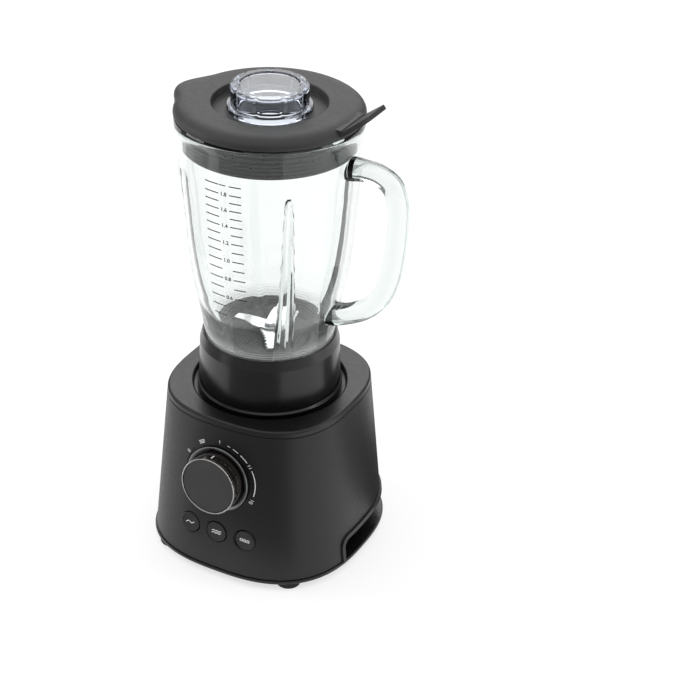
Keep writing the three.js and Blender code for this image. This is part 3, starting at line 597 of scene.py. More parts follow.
def sweep(name, path, width, height, material, sides, flare):
    """Oval bar along a path in the XZ plane; flare(distance along, whole length) scales its section."""
    path = np.array(path)
    along = np.concatenate([[0], np.cumsum(np.linalg.norm(np.diff(path, axis=0), axis=1))])
    tangents = np.gradient(path, along, axis=0)
    tangents /= np.linalg.norm(tangents, axis=1)[:, None]
    turns = np.arange(sides) * 2 * np.pi / sides
    vertices = []
    for (x, z), (tx, tz), distance in zip(path, tangents, along):
        scale = flare(distance, along[-1])
        across = np.cos(turns) * height / 2 * scale
        vertices += list(zip(x - tz * across, np.sin(turns) * width / 2 * scale, z + tx * across))
    faces = [tuple(range(sides)), tuple(range(len(vertices) - 1, len(vertices) - sides - 1, -1))]
    for ring in range(len(path) - 1):
        for k in range(sides):
            a, b = ring * sides + k, ring * sides + (k + 1) % sides
            faces.append((b, a, a + sides, b + sides))
    return closed_body(name, vertices, faces, material, UPRIGHT)


PRINT = 0.12  # thickness of all printed marks


def stroke(points, width):
    """Flat line through points (u, v): the vertices (u, v, w) and faces of a thin closed body."""
    points = [Vector(point) for point in points]
    vertices = []
    for i, point in enumerate(points):
        ahead = (points[min(i + 1, len(points) - 1)] - points[max(i - 1, 0)]).normalized()
        across = Vector((-ahead.y, ahead.x)) * width / 2
        for side in (point + across, point - across):
            vertices += [(side.x, side.y, 0), (side.x, side.y, PRINT)]
    faces = [(0, 2, 3, 1), tuple(len(vertices) - 4 + k for k in (0, 1, 3, 2))]
    for i in range(0, len(vertices) - 4, 4):
        for a, b in ((0, 1), (1, 3), (3, 2), (2, 0)):
            faces.append((i + a, i + b, i + b + 4, i + a + 4))
    return vertices, faces


def line(start, end, width, steps=8):
    return stroke([Vector(start).lerp(Vector(end), k / steps) for k in range(steps + 1)], width)


def arc(radius, start, end, width, steps=24):
    """Arc between two angles in degrees, clockwise from the top."""
    turns = [radians(start + (end - start) * k / steps) for k in range(steps + 1)]
    return stroke([(radius * sin(t), radius * cos(t)) for t in turns], width)


def lettering(text, size, centre, turn=0.0, heavy=0.0):
    """Raised digits, size being their full type size, turned clockwise by degrees."""
    curve = bpy.data.curves.new("lettering", "FONT")
    curve.body = text
    curve.size = size
    curve.extrude = PRINT / 2
    curve.resolution_u = 4
    curve.offset = heavy
    curve.align_x = curve.align_y = "CENTER"
    holder = in_scene("lettering", curve)
    mesh = bpy.data.meshes.new_from_object(holder.evaluated_get(bpy.context.evaluated_depsgraph_get()))
    place = Matrix.Translation((*centre, PRINT / 2)) @ Matrix.Rotation(-radians(turn), 4, "Z")
    shape = [tuple(place @ v.co) for v in mesh.vertices], [tuple(p.vertices) for p in mesh.polygons]
    bpy.data.objects.remove(holder)
    bpy.data.curves.remove(curve)
    bpy.data.meshes.remove(mesh)
    return shape


def printed(name, shapes, wrap, material, body, slot):
    """One piece of all the marks, each point laid on its surface by wrap(u, v, w) in millimetres."""
    vertices, faces = [], []
    for points, sides in shapes:
        faces += [tuple(len(vertices) + k for k in side) for side in sides]
        vertices += [wrap(*point) for point in points]
    piece = make_object(name, [tuple(Vector(v) * MM) for v in vertices], faces, material, smooth=30)
    shape = bmesh.new()
    shape.from_mesh(piece.data)
    bmesh.ops.remove_doubles(shape, verts=shape.verts, dist=1e-7)
    bmesh.ops.recalc_face_normals(shape, faces=shape.faces)
    shape.to_mesh(piece.data)
    shape.free()
    fit(piece, body, slot=slot)


# ---- base

CORNERS = ["front_left", "front_right", "back_left", "back_right"]
GLAND = measure("cord_gland")
WALL = 3.0
# Channel for the mains lead round the sides and back, and its frame, which stands proud of the housing.
RECESS = Sizes(front=-30.0, top=29.5, depth=22.0, wall=2.5, corner=7.0, proud=1.6, frame=3.8, above=4.2)
BELOW, ABOVE = -10.0, 50.0  # heights that the channel's cutters reach to
DIAL_RADIUS, DIAL_SEAT = 30.5, 2.3
KEY_RADIUS, KEY_DEPTH, KEY_PROUD, KEY_FLANGE = 9.6, 8.8, 0.4, 11.2
ALONG_X = UPRIGHT @ Matrix(((0, 0, 1, 0), (1, 0, 0, 0), (0, 1, 0, 0), (0, 0, 0, 1)))
ALONG_Y = Matrix.Rotation(-pi / 2, 4, "X")
FAR = 200.0  # past every side of the base


def squared(r, z, angles):
    return r * squareness(angles)


def square_block(low_half, high_half, low, high):
    """Rounded-square block from one half width at its foot to another at its head."""
    outline = [(0, low), (low_half, low), (high_half, high), (0, high)]
    return revolve("block", outline, HOUSING, 256, squared)


def tapered(offset, low, high):
    """Block with the housing's own taper, moved out by offset."""
    return square_block(half_at(low) + offset, half_at(high) + offset, low, high)


def behind(front, top, corner):
    """All that lies behind a front edge and under a top edge, with a round corner between them."""
    foot = BELOW / 2
    corners = [(front, foot, 0), (front, top, corner), (FAR, top, 0), (FAR, foot, 0)]
    return prism("behind", rounded(corners, steps=10, guard=NO_GUARD), -FAR, FAR, HOUSING, ALONG_X)


def plug(profile, place, segments=128):
    """Round cutter with the profile (r, z) about the place's Z axis."""
    return revolve("plug", profile, HOUSING, segments, place=place)


def drill(radius, low, high, place, segments=48):
    """Cylinder about the place's Z axis."""
    return plug([(0, low), (radius, low), (radius, high), (0, high)], place, segments)


def gland_place(y):
    """Matrix of the lead's gland: its axis lies along Y and starts at y."""
    return Matrix.Translation((GLAND.x, y, (GLAND.low + GLAND.high) / 2)) @ ALONG_Y


def key_place(name):
    """Matrix of a push key: the panel's frame, moved to the middle of the key's front face."""
    low, high = (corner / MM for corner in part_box(f"{name}_button"))
    spot = PANEL.inverted() @ ((low + high) / 2)
    return PANEL @ Matrix.Translation((spot.x, spot.y, spot.z + (KEY_DEPTH - KEY_PROUD) / 2))


KEYS = {name: key_place(name) for name in ("pulse", "smoothie", "ice")}


def motor_housing():
    """Shell with the cord channel and its frame, the dial's seat and the holes of the keys and the lead."""
    low, high = SHELL.low, SHELL.high
    foot, head = half_at(low), half_at(high)
    wall = rounded([(foot - WALL, low, 0), (foot, low, 0.5), (head, high, 0.7), (head - WALL, high, 0)])
    shell = revolve("motor_housing", wall, HOUSING, 256, squared)
    hollow_top = RECESS.top + RECESS.above
    lip = combine(tapered(RECESS.proud, low, hollow_top), "INTERSECT",
                  behind(RECESS.front - RECESS.frame, hollow_top, RECESS.corner + RECESS.frame))
    cut(lip, tapered(-WALL, low - 1, hollow_top + 1))
    core = foot - RECESS.depth
    liner = behind(RECESS.front - RECESS.wall, RECESS.top + RECESS.wall, RECESS.corner + RECESS.wall)
    cut(liner, square_block(core - RECESS.wall, core - RECESS.wall, BELOW, ABOVE))
    combine(liner, "INTERSECT", tapered(-1, low, high))
    join(shell, lip, liner, drill(DIAL_RADIUS + 3, -8, -1, PANEL, 128))
    recess = cut(behind(RECESS.front, RECESS.top, RECESS.corner), square_block(core, core, BELOW, ABOVE))
    bore, hole, out, deep = DIAL_RADIUS + 0.3, KEY_RADIUS + 0.4, 10, -12
    seat = plug([(0, -DIAL_SEAT), (bore, -DIAL_SEAT), (bore, -0.2), (bore + 0.4, 0.2), (bore + 0.4, out),
                 (0, out)], PANEL)
    profile = [(0, deep), (hole, deep), (hole, -0.9), (hole + 1, 0.1), (hole + 1, out), (0, out)]
    holes = [plug(profile, place, 96) for place in KEYS.values()]
    cut(shell, recess, seat, drill(5, -20, out, PANEL), drill(6.3, -40, out, gland_place(GLAND.y)), *holes)
    # Faces inside the cord channel get the near-black recess material: painted shade.
    shell.data.materials.append(RECESS_PAINTED_SHADE)
    within = (foot - WALL - 0.5) ** SQUARE_POWER
    for face in shell.data.polygons:
        spot = face.center / MM - AXIS
        inside = abs(spot.x) ** SQUARE_POWER + abs(spot.y) ** SQUARE_POWER < within
        if inside and spot.z < RECESS.top + 0.1 and spot.y > RECESS.front - 0.1:
            face.material_index = 1
    fit(weighted(shell), "base", "housing", slot="housing")


DECK_FACE = DECK.high - 11.4
SHAFT_BORE = 4.3  # of the deck's seal, the blades and their nut


def deck_cover():
    """Deck with a groove for the collar's foot and a boss with the couplers' well.

    It is square at its rim and round from the groove inwards.
    """
    rim, face, boss, skin = half_at(DECK_RIM), half_at(DECK_FACE), DECK.high, 2.6
    outer, inner, groove = 68.0, 58.5, 152.0
    well, hole, floor = 24.0, 14.0, 160.0
    outline = rounded([
        (rim, DECK_RIM, 0.4), (face, DECK_FACE, 2.4), (outer + 0.3, DECK_FACE - 0.7, 1.8),
        (outer - 0.2, groove, 0.8), (inner, groove, 0.8), (inner - 1, boss, 2.2), (well, boss, 1.6),
        (well, floor, 0.8), (hole, floor, 0.5), (hole, floor - skin, 0), (well + skin, floor - skin, 0),
        (well + skin, boss - skin, 0), (inner - 1 - skin, boss - skin, 0), (inner - skin, groove - skin, 0),
        (outer + skin, groove - skin, 0), (outer + skin, DECK_FACE - 3.6, 0),
        (face - WALL - 0.6, DECK_FACE - 3.2, 0), (rim - WALL, DECK_RIM, 0),
    ], steps=6)

    def plan(r, z, angles):
        return r * (1 + (squareness(angles) - 1) * smoothstep(r, outer + 3, outer + 12))

    deck = revolve("deck_cover", outline, DECK_TOP, 256, plan)
    fit(weighted(deck), "base", "top_deck", slot="deck")
    seal = measure("shaft_seal")
    ring = rounded([(SHAFT_BORE, seal.low, 0.3), (seal.radius, seal.low, 0), (seal.radius, seal.high, 0.4),
                    (7, seal.high, 0.3), (SHAFT_BORE, seal.high - 0.6, 0.2)])
    fit(revolve("deck_seal", ring, RUBBER, 64), "base", "shaft_seal", slot="rubber")


def floor_plate():
    """Bottom plate with seven air slots and four screw holes."""
    half, low, high = PLATE.radius, PLATE.low, PLATE.high
    under, over = low - 3, high + 3
    pitch, half_width, half_length = 9.0, 2.0, 21.0
    outline = rounded([(0, low, 0), (half, low, 1.0), (half, high, 0.9), (0, high, 0)],
                      closed=False, guard=1.5)
    plate = revolve("floor_plate", outline, TRIM, 256, squared)
    slots = []
    for i in range(-3, 4):
        ends = [(pitch * i + half_width * cos(turn + pi * k / 8),
                 side * half_length + half_width * sin(turn + pi * k / 8))
                for side, turn in ((1, 0), (-1, pi)) for k in range(9)]
        slots.append(prism("slot", ends, under, over, TRIM))
    screws = []
    for corner in CORNERS:
        spot = measure(f"plate_screw_{corner}")
        screws.append(drill(1.9, under, over, Matrix.Translation((spot.x, spot.y, 0)), 24))
    cut(plate, *slots, *screws)
    fit(weighted(plate), "base", "bottom_plate", slot="trim")


def feet():
    """Rubber feet with a shallow hollow in each sole."""
    for corner in CORNERS:
        foot = measure(f"foot_{corner}")
        radius, hollow = foot.radius, 0.5
        outline = rounded([
            (0, hollow, 0), (radius - 4, hollow, 0.4), (radius - 4.4, 0, 0.3), (radius - 0.9, 0, 1.0),
            (radius - 0.2, 1.6, 0.8), (radius - 0.9, foot.high, 0.3), (0, foot.high, 0),
        ], closed=False)
        place = Matrix.Translation((foot.x, foot.y, 0))
        piece = revolve(f"rubber_foot_{corner}", outline, RUBBER, 64, place=place)
        fit(piece, "base", f"foot_{corner}", slot="rubber")


def cord_outlet():
    """Gland: a barrel in the wall, a flange on its face and a tapering nose."""
    bore, barrel, flange, nose = 3.6, 6, 8.5, 11
    outline = rounded([
        (bore, -6, 0), (barrel, -6, 0.4), (barrel, 1.5, 0.2), (flange, 1.5, 0.6), (flange, 4, 1.0),
        (5.4, 5.5, 1.5), (5.0, nose, 0.8), (bore, nose, 0.4),
    ])
    piece = revolve("cord_outlet", outline, RUBBER, 64, place=gland_place(GLAND.front + 6))
    fit(piece, "base", "cord_gland", slot="rubber")


# ---- dial and keys

def dial():
    """Bezel with a bright band in the housing; knob with a trim ring, a face disc and a white pointer."""
    def ring(name, corners, material, closed=True):
        return revolve(name, rounded(corners, closed), material, 160, place=PANEL)

    radius, reach, rim, bore = 26.2, 17.96, 24.8, 5.5
    bezel = ring("dial_bezel_ring", [
        (bore, -2, 0), (DIAL_RADIUS, -2, 0), (DIAL_RADIUS, 2.2, 0.9), (radius + 2.1, 1.7, 0.7),
        (radius + 1.2, -0.4, 0.4), (bore, -0.4, 0),
    ], TRIM)
    fit(bezel, "base", "dial_bezel", slot="trim")
    band = ring("dial_bezel_band", [
        (radius + 1.3, 1.0, 0), (DIAL_RADIUS - 0.1, 1.0, 0), (DIAL_RADIUS - 0.1, 2.9, 0.8),
        (radius + 1.4, 2.0, 0.4),
    ], BEZEL)
    fit(band, "base", slot="trim")
    knob = ring("dial_knob", [
        (0, 0.6, 0), (radius - 0.2, 0.6, 0.7), (radius, reach - 2.8, 0.3), (rim, reach - 2.7, 0),
        (rim, reach - 1.6, 0), (0, reach - 1.6, 0),
    ], SMOKY, closed=False)
    fit(knob, "dial", "knob", slot="knob")
    trim = ring("dial_trim", [
        (rim + 0.3, reach - 2.5, 0.2), (radius + 0.1, reach - 2.5, 0.4), (radius + 0.15, reach, 0.7),
        (rim + 0.55, reach, 0.3),
    ], CHROME)
    fit(trim, "dial", "knob_trim_ring", slot="chrome")
    face = ring("dial_face", [
        (0, reach - 1.3, 0), (rim, reach - 1.3, 0), (rim, reach - 0.5, 0.3), (0, reach - 0.5, 0),
    ], FACE, closed=False)
    fit(face, "dial", "knob_face", slot="knob_face")

    def on_side(u, v, w):
        turn = u / radius
        return PANEL @ Vector(((radius + w) * sin(turn), (radius + w) * cos(turn), v))

    pointer = [line((0, 8.6), (0, 13.4), 1.3)]
    printed("dial_pointer", pointer, on_side, INK_WHITE, "dial", "knob_face")


def keys():
    """Push keys: a flange behind the panel and a slightly hollow front face."""
    for name, place in KEYS.items():
        outline = rounded([
            (0, -KEY_DEPTH, 0), (KEY_FLANGE, -KEY_DEPTH, 0.3), (KEY_FLANGE, 1.4 - KEY_DEPTH, 0.3),
            (KEY_RADIUS, 1.5 - KEY_DEPTH, 0), (KEY_RADIUS, KEY_PROUD, 0.9),
            (KEY_RADIUS - 3, KEY_PROUD - 0.1, 2), (0, KEY_PROUD - 0.2, 0),
        ], closed=False)
        key = revolve(f"{name}_key_cap", outline, KEY, 96, place=place)
        fit(key, f"{name}_key", f"{name}_button", slot="button")


def on_front(u, v, w):
    """Point on the sloping, slightly round front face, u to the right of the dial and v above it."""
    spot = PANEL @ Vector((u, v, 0))
    half = half_at(spot.z)
    across = abs(spot.x - AXIS.x) / half
    y = AXIS.y - half * (1 - across ** SQUARE_POWER) ** (1 / SQUARE_POWER)
    return Vector((spot.x, y, spot.z)) + OUTWARD * (w - 0.02)


DIAL_MARKS = 35.4  # radius of the ring of marks round the dial


def dial_marks():
    """Numbers for off and both end speeds, with bars, growing dashes, ticks and an arc between them."""
    def clockwise(turn, radius=DIAL_MARKS):
        return radius * sin(radians(turn)), radius * cos(radians(turn))

    shapes = []
    for turn, text in ((-63.6, "0"), (0, "1"), (114, "10")):
        shapes.append(lettering(text, 5.2, clockwise(turn), turn))
    for step in (-1, 0, 1):
        shapes.append(arc(DIAL_MARKS + 1.25 * step, -35.5, -25.5, 0.65))
    for start, end, width in ((12.5, 17, 0.6), (22, 31, 0.7), (35.5, 50, 0.8)):
        shapes.append(arc(DIAL_MARKS, start, end, width))
    for turn in (54.6, 58.4):
        shapes.append(line(clockwise(turn, DIAL_MARKS - 1.3), clockwise(turn, DIAL_MARKS + 1.3), 0.6))
    shapes.append(arc(DIAL_MARKS, 63, 105, 0.8, steps=40))
    printed("dial_marks", shapes, on_front, INK_WHITE, "base", "knob_face")


def key_marks():
    """A zigzag, two waves and three cubes, one sign to a key."""
    bolt = [stroke([(-4.2, -0.9), (-1.4, 1.0), (1.4, -1.0), (4.2, 0.9)], 0.8)]
    waves = [stroke([(x / 3.6, row + 0.5 * sin(x * pi / 6)) for x in range(-17, 18)], 0.7)
             for row in (-1.1, 1.1)]
    cubes = []
    for middle in (-3.4, 0, 3.4):
        left, right, half = middle - 1.1, middle + 1.1, 1.1
        corners = [(left, -half), (right, -half), (right, half), (left, half)]
        cubes += [line(corners[k], corners[(k + 1) % 4], 0.6, 2) for k in range(4)]
    for (name, place), shapes in zip(KEYS.items(), (bolt, waves, cubes)):
        def on_key(u, v, w, place=place):
            return place @ Vector((u, v, KEY_PROUD - 0.16 + w))
        printed(f"{name}_key_mark", shapes, on_key, INK_WHITE, f"{name}_key", "button")


# ---- jug

# Profiles (radius, height) of the glass from its foot to the middle of its brim.
GLASS_OUTER = [
    (56.2, 201.5), (56.9, 209.5), (61.4, 237), (67, 262), (70.3, 286), (74.5, 335), (76.2, 360), (76.8, 385),
    (78, 399), (79.2, 409), (78.9, 412.6), (77.9, 414), (76.6, 414.4),
]
GLASS_INNER = [
    (47.3, 205), (48.1, 209), (49.4, 214), (53, 228), (56.6, 240), (61.6, 262), (65, 286), (69.2, 335),
    (70.9, 360), (71.4, 385), (72.4, 405), (73.6, 411), (75, 413.8), (76.6, 414.4),
]
SPOUT = Sizes(reach=9.4, half_angle=radians(23), start=384.0, full=409.0)
RIB = Sizes(first=42.5, low=206.4, high=368.0, foot=41.5, tip=69.6, half_foot=6.5, half_tip=3.0, crest=0.78)
HANDLE = Sizes(width=20.0, height=18.28, flare=1.14, blend_start=4, blend_end=22)
# Middle line (x, height) of the handle, from its upper root to its lower one.
HANDLE_ROUTE = [
    (70, 380.5), (86, 382.5), (102, 381.5), (114, 375), (119.6, 361), (120.4, 338), (118.4, 312),
    (114.6, 290), (107.3, 270.5), (94.5, 256), (79, 246.5), (58, 240),
]


def lip_reach(angles):
    """How far the pouring lip, which points to -X, reaches out at angles round the jug."""
    off = np.pi - np.abs((angles + np.pi) % (2 * np.pi) - np.pi)
    reach = SPOUT.reach / 2 * (1 + np.cos(np.pi * off / SPOUT.half_angle))
    return np.where(off < SPOUT.half_angle, reach, 0.0)


def with_lip(r, z, angles):
    return r + lip_reach(angles) * smoothstep(z, SPOUT.start, SPOUT.full)


def inner_face(r, z, angles):
    """Inside of the glass: four tapering ribs stand in from it, with round crests and soft roots."""
    radii = with_lip(r, z, angles)
    if not RIB.low - 3 < z < RIB.high or r < 40:
        return radii
    share = np.clip((z - RIB.low) / (RIB.high - RIB.low), 0, 1)
    crest = RIB.foot + (RIB.tip - RIB.foot) * share
    half = 1.35 * (RIB.half_foot + (RIB.half_tip - RIB.half_foot) * share)
    for k in range(4):
        middle = radians(RIB.first + 90 * k)
        off = np.abs((angles - middle + np.pi) % (2 * np.pi) - np.pi) * r
        radii = radii - max(r - crest, 0) * smoothstep(1 - off / half, 0.0, RIB.crest)
    return radii


def jug_angles():
    """Angles round the jug, closer together at the ribs and at the lip."""
    marks = [np.arange(0, 360, 2.5), np.arange(155, 206, 1.25)]
    marks += [RIB.first + 90 * k + np.arange(-11, 11.1, 0.55) for k in range(4)]
    kept = [0.0]
    for mark in sorted(set(np.round(np.concatenate(marks), 3))):
        if mark - kept[-1] > 0.3:
            kept.append(mark)
    return np.radians(kept)


def glass_radius(z):
    """Outer radius of the glass at a height."""
    curve = np.array(flowing(GLASS_OUTER[:-3]))
    return float(np.interp(z, curve[:, 1], curve[:, 0]))


def handle_flare(distance, length):
    """The handle's section grows towards both of its roots."""
    near = min(distance, length - distance)
    return 1 + (HANDLE.flare - 1) * (1 - smoothstep(near, HANDLE.blend_start, HANDLE.blend_end))


def jug_glass():
    """Glass with its lip and handle, hollowed by the ribbed inside."""
    angles = jug_angles()
    (foot_radius, low), above_foot = GLASS_OUTER[:2]
    brim, top = GLASS_OUTER[-1]
    foot = rounded([(0, low, 0), (foot_radius, low, 1.2), (*above_foot, 0)], closed=False)[:-1]
    outside = foot + flowing(GLASS_OUTER[1:]) + [(0, top)]
    body = revolve("jug_glass", outside, GLASS, reshape=with_lip, angles=angles, smooth=30)
    route = flowing(HANDLE_ROUTE, 2.2)
    join(body, sweep("handle", route, HANDLE.width, HANDLE.height, GLASS, 40, handle_flare), smooth=30)
    under, over = low - 1.5, top + 2
    inside = [(0, under), (GLASS_INNER[0][0], under)] + flowing(GLASS_INNER) + [(brim, over), (0, over)]
    cut(body, revolve("inside", inside, GLASS, reshape=inner_face, angles=angles), smooth=30)
    fit(body, "jug", "glass_jug", slot="glass")
    body.visible_shadow = False


def collar():
    """Tapering collar with a ledge over its foot, a shoulder and a web under the glass."""
    foot, low, high, wall = COLLAR.radius, COLLAR.low, COLLAR.high, 2.9
    shoulder, top_radius, bore, hole = 61.5, 58.9, 57.4, 48
    web_top, web_low = 195.7, 192.6
    outline = rounded([
        (foot, low, 0.8), (foot, 158.4, 1.0), (foot - 1.6, 160.2, 1.0), (shoulder, 200.1, 1.6),
        (top_radius, high, 0.8), (bore, high, 0.3), (bore, web_top, 0), (hole, web_top, 0),
        (hole, web_low, 0), (shoulder - wall, web_low, 0), (foot - wall, low, 0.3),
    ], steps=6)
    fit(weighted(revolve("jug_collar_ring", outline, SATIN, 224)), "jug", "jug_collar", slot="collar")


def blade_seat():
    """Dished floor of the jug round the blades' hub, with a flange under the glass and its seal."""
    seat = measure("blade_carrier")
    radius, top, hub, bore, thick = 46.9, 205.8, 12.0, 9, 3
    flange, flange_low, flange_top = 56.6, 196, 199
    outline = rounded([
        (bore, seat.low, 0), (hub, seat.low, 0.4), (hub, top - thick, 0), (radius - thick, top - thick, 0),
        (radius - thick, flange_low, 0), (flange, flange_low, 0.3), (flange, flange_top, 0.3),
        (radius, flange_top, 0.4), (radius, top, 1.6), (40, top - 0.5, 2), (37, top + 0.3, 2),
        (hub + 5, top + 0.2, 1.5), (hub, seat.high, 0.8), (bore, seat.high, 0.3),
    ], steps=6)
    fit(weighted(revolve("blade_seat", outline, CARRIER, 192)), "jug", "blade_carrier", slot="carrier")
    seal = measure("jug_seal")
    inner = seal.radius - 6
    ring = rounded([(inner, seal.low, 0.5), (seal.radius, seal.low, 0.5), (seal.radius, seal.high, 0.6),
                    (inner, seal.high, 0.6)])
    fit(revolve("jug_seal_ring", ring, RUBBER, 128), "jug", "jug_seal", slot="rubber")


BLADE = Sizes(hub=9.0, root=6.0, thick=1.8, half=8.5)
# The plain arm from its root outwards, (along, across) in millimetres.
PLAIN_ARM = [
    (0, BLADE.half), (3, BLADE.half), (9, 6.5), (13, 3), (17, 1.5), (27, 1), (26.6, -3), (25.5, -5.5),
    (16, -7.6), (8, -BLADE.half), (0, -BLADE.half),
]


def toothed_arm():
    """Arm with a slanting edge of round-bottomed teeth, back from its tip."""
    reach, root, tip, count = 32.5, -9.5, -3.5, 9
    outline = [(0, BLADE.half), (24, BLADE.half), (reach, 4)]
    for k in range(count, 0, -1):
        along, across = reach * k / count, root + (tip - root) * k / count
        outline += [(along, across), (along - 1.1, across + 1.9), (along - 2.3, across + 1.7)]
    return (outline + [(0, root)])[::-1]


def blade(name, cad_node, outline, low, lifts, turns):
    """Two bevelled arms on a hub disc, each lifted and turned by its own angles in degrees."""
    high, skin = low + BLADE.thick, 0.02
    hub = rounded([(SHAFT_BORE, low, 0.3), (BLADE.hub, low, 0.4), (BLADE.hub, high, 0.5),
                   (SHAFT_BORE, high, 0.3)])
    piece = revolve(name, hub, BLADE_STEEL, 64)
    for lift, turn in zip(lifts, turns):
        place = (UPRIGHT @ Matrix.Rotation(radians(turn), 4, "Z")
                 @ Matrix.Translation((BLADE.root, 0, low)) @ Matrix.Rotation(-radians(lift), 4, "Y"))
        arm = prism("arm", outline, skin, BLADE.thick - skin, BLADE_STEEL, place)
        join(piece, softened(arm, 0.35, 2))
    cut(piece, drill(SHAFT_BORE, low - 5, low + 9, UPRIGHT))
    fit(weighted(piece), "blades", cad_node, slot="steel")


def blades():
    """Toothed lower blade, plain upper blade with one steep arm, and the low nut that holds both."""
    blade("blade_lower", "lower_blade", toothed_arm(), measure("lower_blade").low, (1, 1), (-60, 98))
    blade("blade_upper", "upper_blade", PLAIN_ARM, measure("upper_blade").low, (6, 42), (192, 12))
    nut = measure("blade_nut")
    corners = [(5.4 * cos(pi * k / 3), 5.4 * sin(pi * k / 3)) for k in range(6)]
    piece = softened(prism("blade_cap_nut", corners, nut.low, nut.high, STEEL), 0.5)
    cut(piece, drill(SHAFT_BORE, nut.low - 1, nut.high - 1, UPRIGHT))
    fit(weighted(piece), "blades", "blade_nut", slot="steel")


# Litre scale: a column of lines on each side of the numbers, on the front of the glass.
SCALE = Sizes(middle=radians(-89.5), right=(6.0, 16.4), left=(-17.2, -3.8), top=380.0, line=0.95)


def litre_height(litres):
    """Height of a mark: the steps grow shorter as the jug grows wider."""
    return 209.5 + 113 * litres - 12.6 * litres ** 2


def litre_scale():
    def on_glass(u, v, w):
        radius = glass_radius(v)
        return AXIS + around(SCALE.middle + u / radius, radius + w, v)

    def level(side, height, width=SCALE.line):
        return line((side[0], height), (side[1], height), width)

    shapes = [level(side, SCALE.top) for side in (SCALE.left, SCALE.right)]
    for tenth in range(4, 19):
        height = litre_height(tenth / 10)
        shapes.append(level(SCALE.left, height))
        if tenth >= 6:
            shapes.append(level(SCALE.right, height))
            if tenth % 2 == 0:
                shapes.append(lettering(f"{tenth / 10:.1f}", 4.9, (0.8, height), heavy=0.12))
    shapes.append(level((-3, 3), SCALE.top, 0.9))
    printed("litre_scale", shapes, on_glass, INK_DARK, "jug", "glass")


# ---- lid and cap

def lid_cover():
    """Lid: a plate with a round shoulder, a well with the cap's sleeve, a plug wall, and the lift tab."""
    rim, low, top, ceiling = 79.45, 414.9, 424.0, 421
    crown, spring = 66, 415.9
    well, well_foot, well_floor, under_well = 48.4, 46.9, 417.2, 414.2
    sleeve, sleeve_outer, sleeve_foot = 30.6, 33, 400
    wall, wall_outer = 64.6, 67.2
    turns = [pi / 2 * k / 14 for k in range(15)]
    shoulder = [(crown + (rim - crown) * cos(t), spring + (top - spring) * sin(t), 0) for t in turns]
    outline = rounded([(rim, low, 0.4)] + shoulder + [
        (well, top, 1.3), (well_foot, well_floor, 0.9), (sleeve, well_floor, 0.5),
        (sleeve, sleeve_foot, 0.3), (sleeve_outer, sleeve_foot, 0.3), (sleeve_outer, under_well, 0),
        (well + 1.3, under_well, 0), (well + 2.3, ceiling, 0), (wall, ceiling, 0), (wall, LID.low, 0.3),
        (wall_outer, LID.low, 0.5), (wall_outer, low, 0),
    ], steps=9)

    def plan(r, z, angles):
        return r + lip_reach(angles) * smoothstep(r, 69, rim - 1)

    cover = revolve("lid_cover", outline, LID_TOP, 256, plan)
    half, length, thick, root, height, rise = 20.0, 31.0, 4.2, 72.5, 413.2, radians(37)
    outline = rounded([(0, -half, 0), (length, -half, 14), (length, half, 2.5), (0, half, 0)],
                      steps=10, guard=NO_GUARD)
    place = UPRIGHT @ Matrix.Translation((root, 0, height)) @ Matrix.Rotation(-rise, 4, "Y")
    tab = softened(prism("tab", outline, 0, thick, LID_TOP, place), 0.6)
    near, far, pad_low, pad_top = 64.0, 77.0, 418.0, 422.6
    outline = rounded([(near, -half, 3), (far, -half, 0), (far, half, 0), (near, half, 3)],
                      steps=6, guard=NO_GUARD)
    pad = softened(prism("pad", outline, pad_low, pad_top, LID_TOP), 0.5)
    over_plug = [(40, -60), (FAR, -60), (FAR, 60), (40, 60)]
    combine(tab, "INTERSECT", prism("above", over_plug, low, 500, LID_TOP))
    join(cover, pad, tab)
    fit(weighted(cover), "lid", "lid", slot="lid")


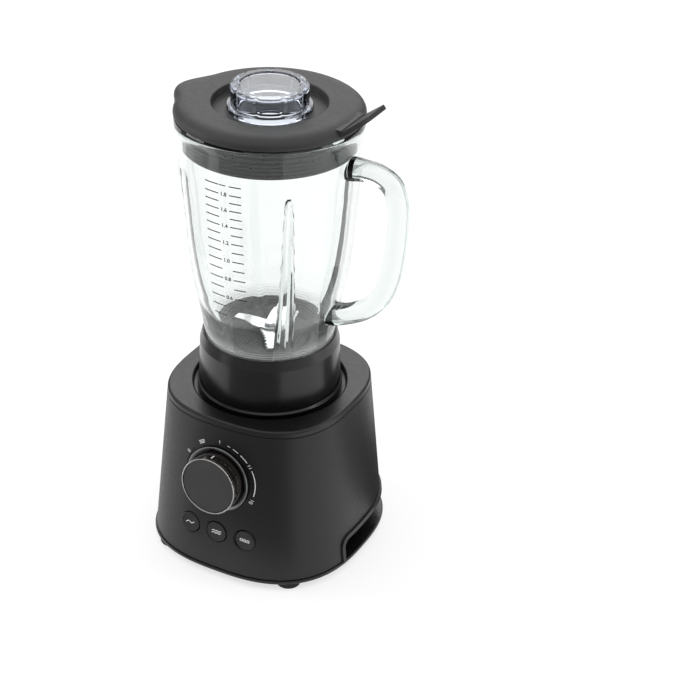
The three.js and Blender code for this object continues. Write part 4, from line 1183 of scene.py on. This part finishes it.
def lid_seal():
    """Gasket round the lid's plug wall: six ribs and a thicker band under the lid's rim."""
    seal = measure("lid_gasket")
    crest, valley, inner, band = seal.radius, seal.radius - 1.2, 67.5, seal.radius + 0.6
    corners = [(inner, seal.low, 0), (valley, seal.low, 0.4)]
    for k in range(6):
        low, high = 388.4 + 3.5 * k, 390.8 + 3.5 * k
        corners += [(valley, low, 0.2), (crest, low + 0.3, 0.3), (crest, high - 0.3, 0.3),
                    (valley, high, 0.2)]
    corners += [(valley, 410, 0.6), (band, 412, 0.6), (band, 414.6, 0.2), (inner, 414.6, 0)]
    piece = revolve("lid_seal", rounded(corners, guard=0.3), WET_RUBBER, 224)
    fit(piece, "lid", "lid_gasket", slot="gasket")


def cap_clear():
    """Measuring cap: an open tube, a flange, and a grip with nine notches round a recessed top."""
    tube, bore, flange, grip, panel = 30.0, 27.4, 35.9, 32.5, 24.3
    low, top, flange_low, flange_top, recess, thick = CAP.low, CAP.high, 417.7, 422.2, 1.2, 2.2
    notches, notch_depth, sharpness = 9, 1.5, 14
    face = top - recess
    outline = rounded([
        (tube, low, 0.7), (tube, flange_low, 0.8), (flange, flange_low, 0.8), (flange, flange_top, 1.3),
        (grip - 1.2, flange_top + 1, 1.0), (grip, 426, 1.5), (grip, top - 0.3, 1.8),
        (panel + 1.2, top, 0.6), (panel, face, 0.6), (0, face, 0), (0, face - thick, 0),
        (bore, face - thick, 1.8), (bore, low, 0.7),
    ], steps=6)

    def plan(r, z, angles):
        on_grip = smoothstep(z, flange_top + 0.2, 424) * smoothstep(r, panel + 2, panel + 6)
        return r - notch_depth * on_grip * ((1 + np.cos(notches * angles)) / 2) ** sharpness

    piece = revolve("cap_clear", outline, CLEAR, 324, plan)
    fit(piece, "cap", "measuring_cap", slot="clear")
    piece.visible_shadow = False


# ---- all together

SLOT_MATERIALS = {
    "housing": HOUSING, "deck": DECK_TOP, "lid": LID_TOP, "collar": SATIN, "trim": TRIM, "button": KEY,
    "knob": SMOKY, "knob_face": FACE, "chrome": CHROME, "rubber": RUBBER, "gasket": WET_RUBBER,
    "glass": GLASS, "clear": CLEAR, "steel": STEEL, "carrier": CARRIER, "coupler": HARD_RUBBER,
    "copper": COPPER, "bronze": BRONZE, "laminate": LAMINATE, "nylon": NYLON, "board": BOARD,
}
for part in frame["record"]["subparts"]:
    frame["nodes"][part["node"]].material_slots[0].material = SLOT_MATERIALS[part["material_slot"]]

motor_housing()
deck_cover()
floor_plate()
feet()
cord_outlet()
dial()
keys()
dial_marks()
key_marks()
jug_glass()
collar()
blade_seat()
blades()
litre_scale()
lid_cover()
lid_seal()
cap_clear()
make_camera()
make_floor()
make_cards()
make_light()
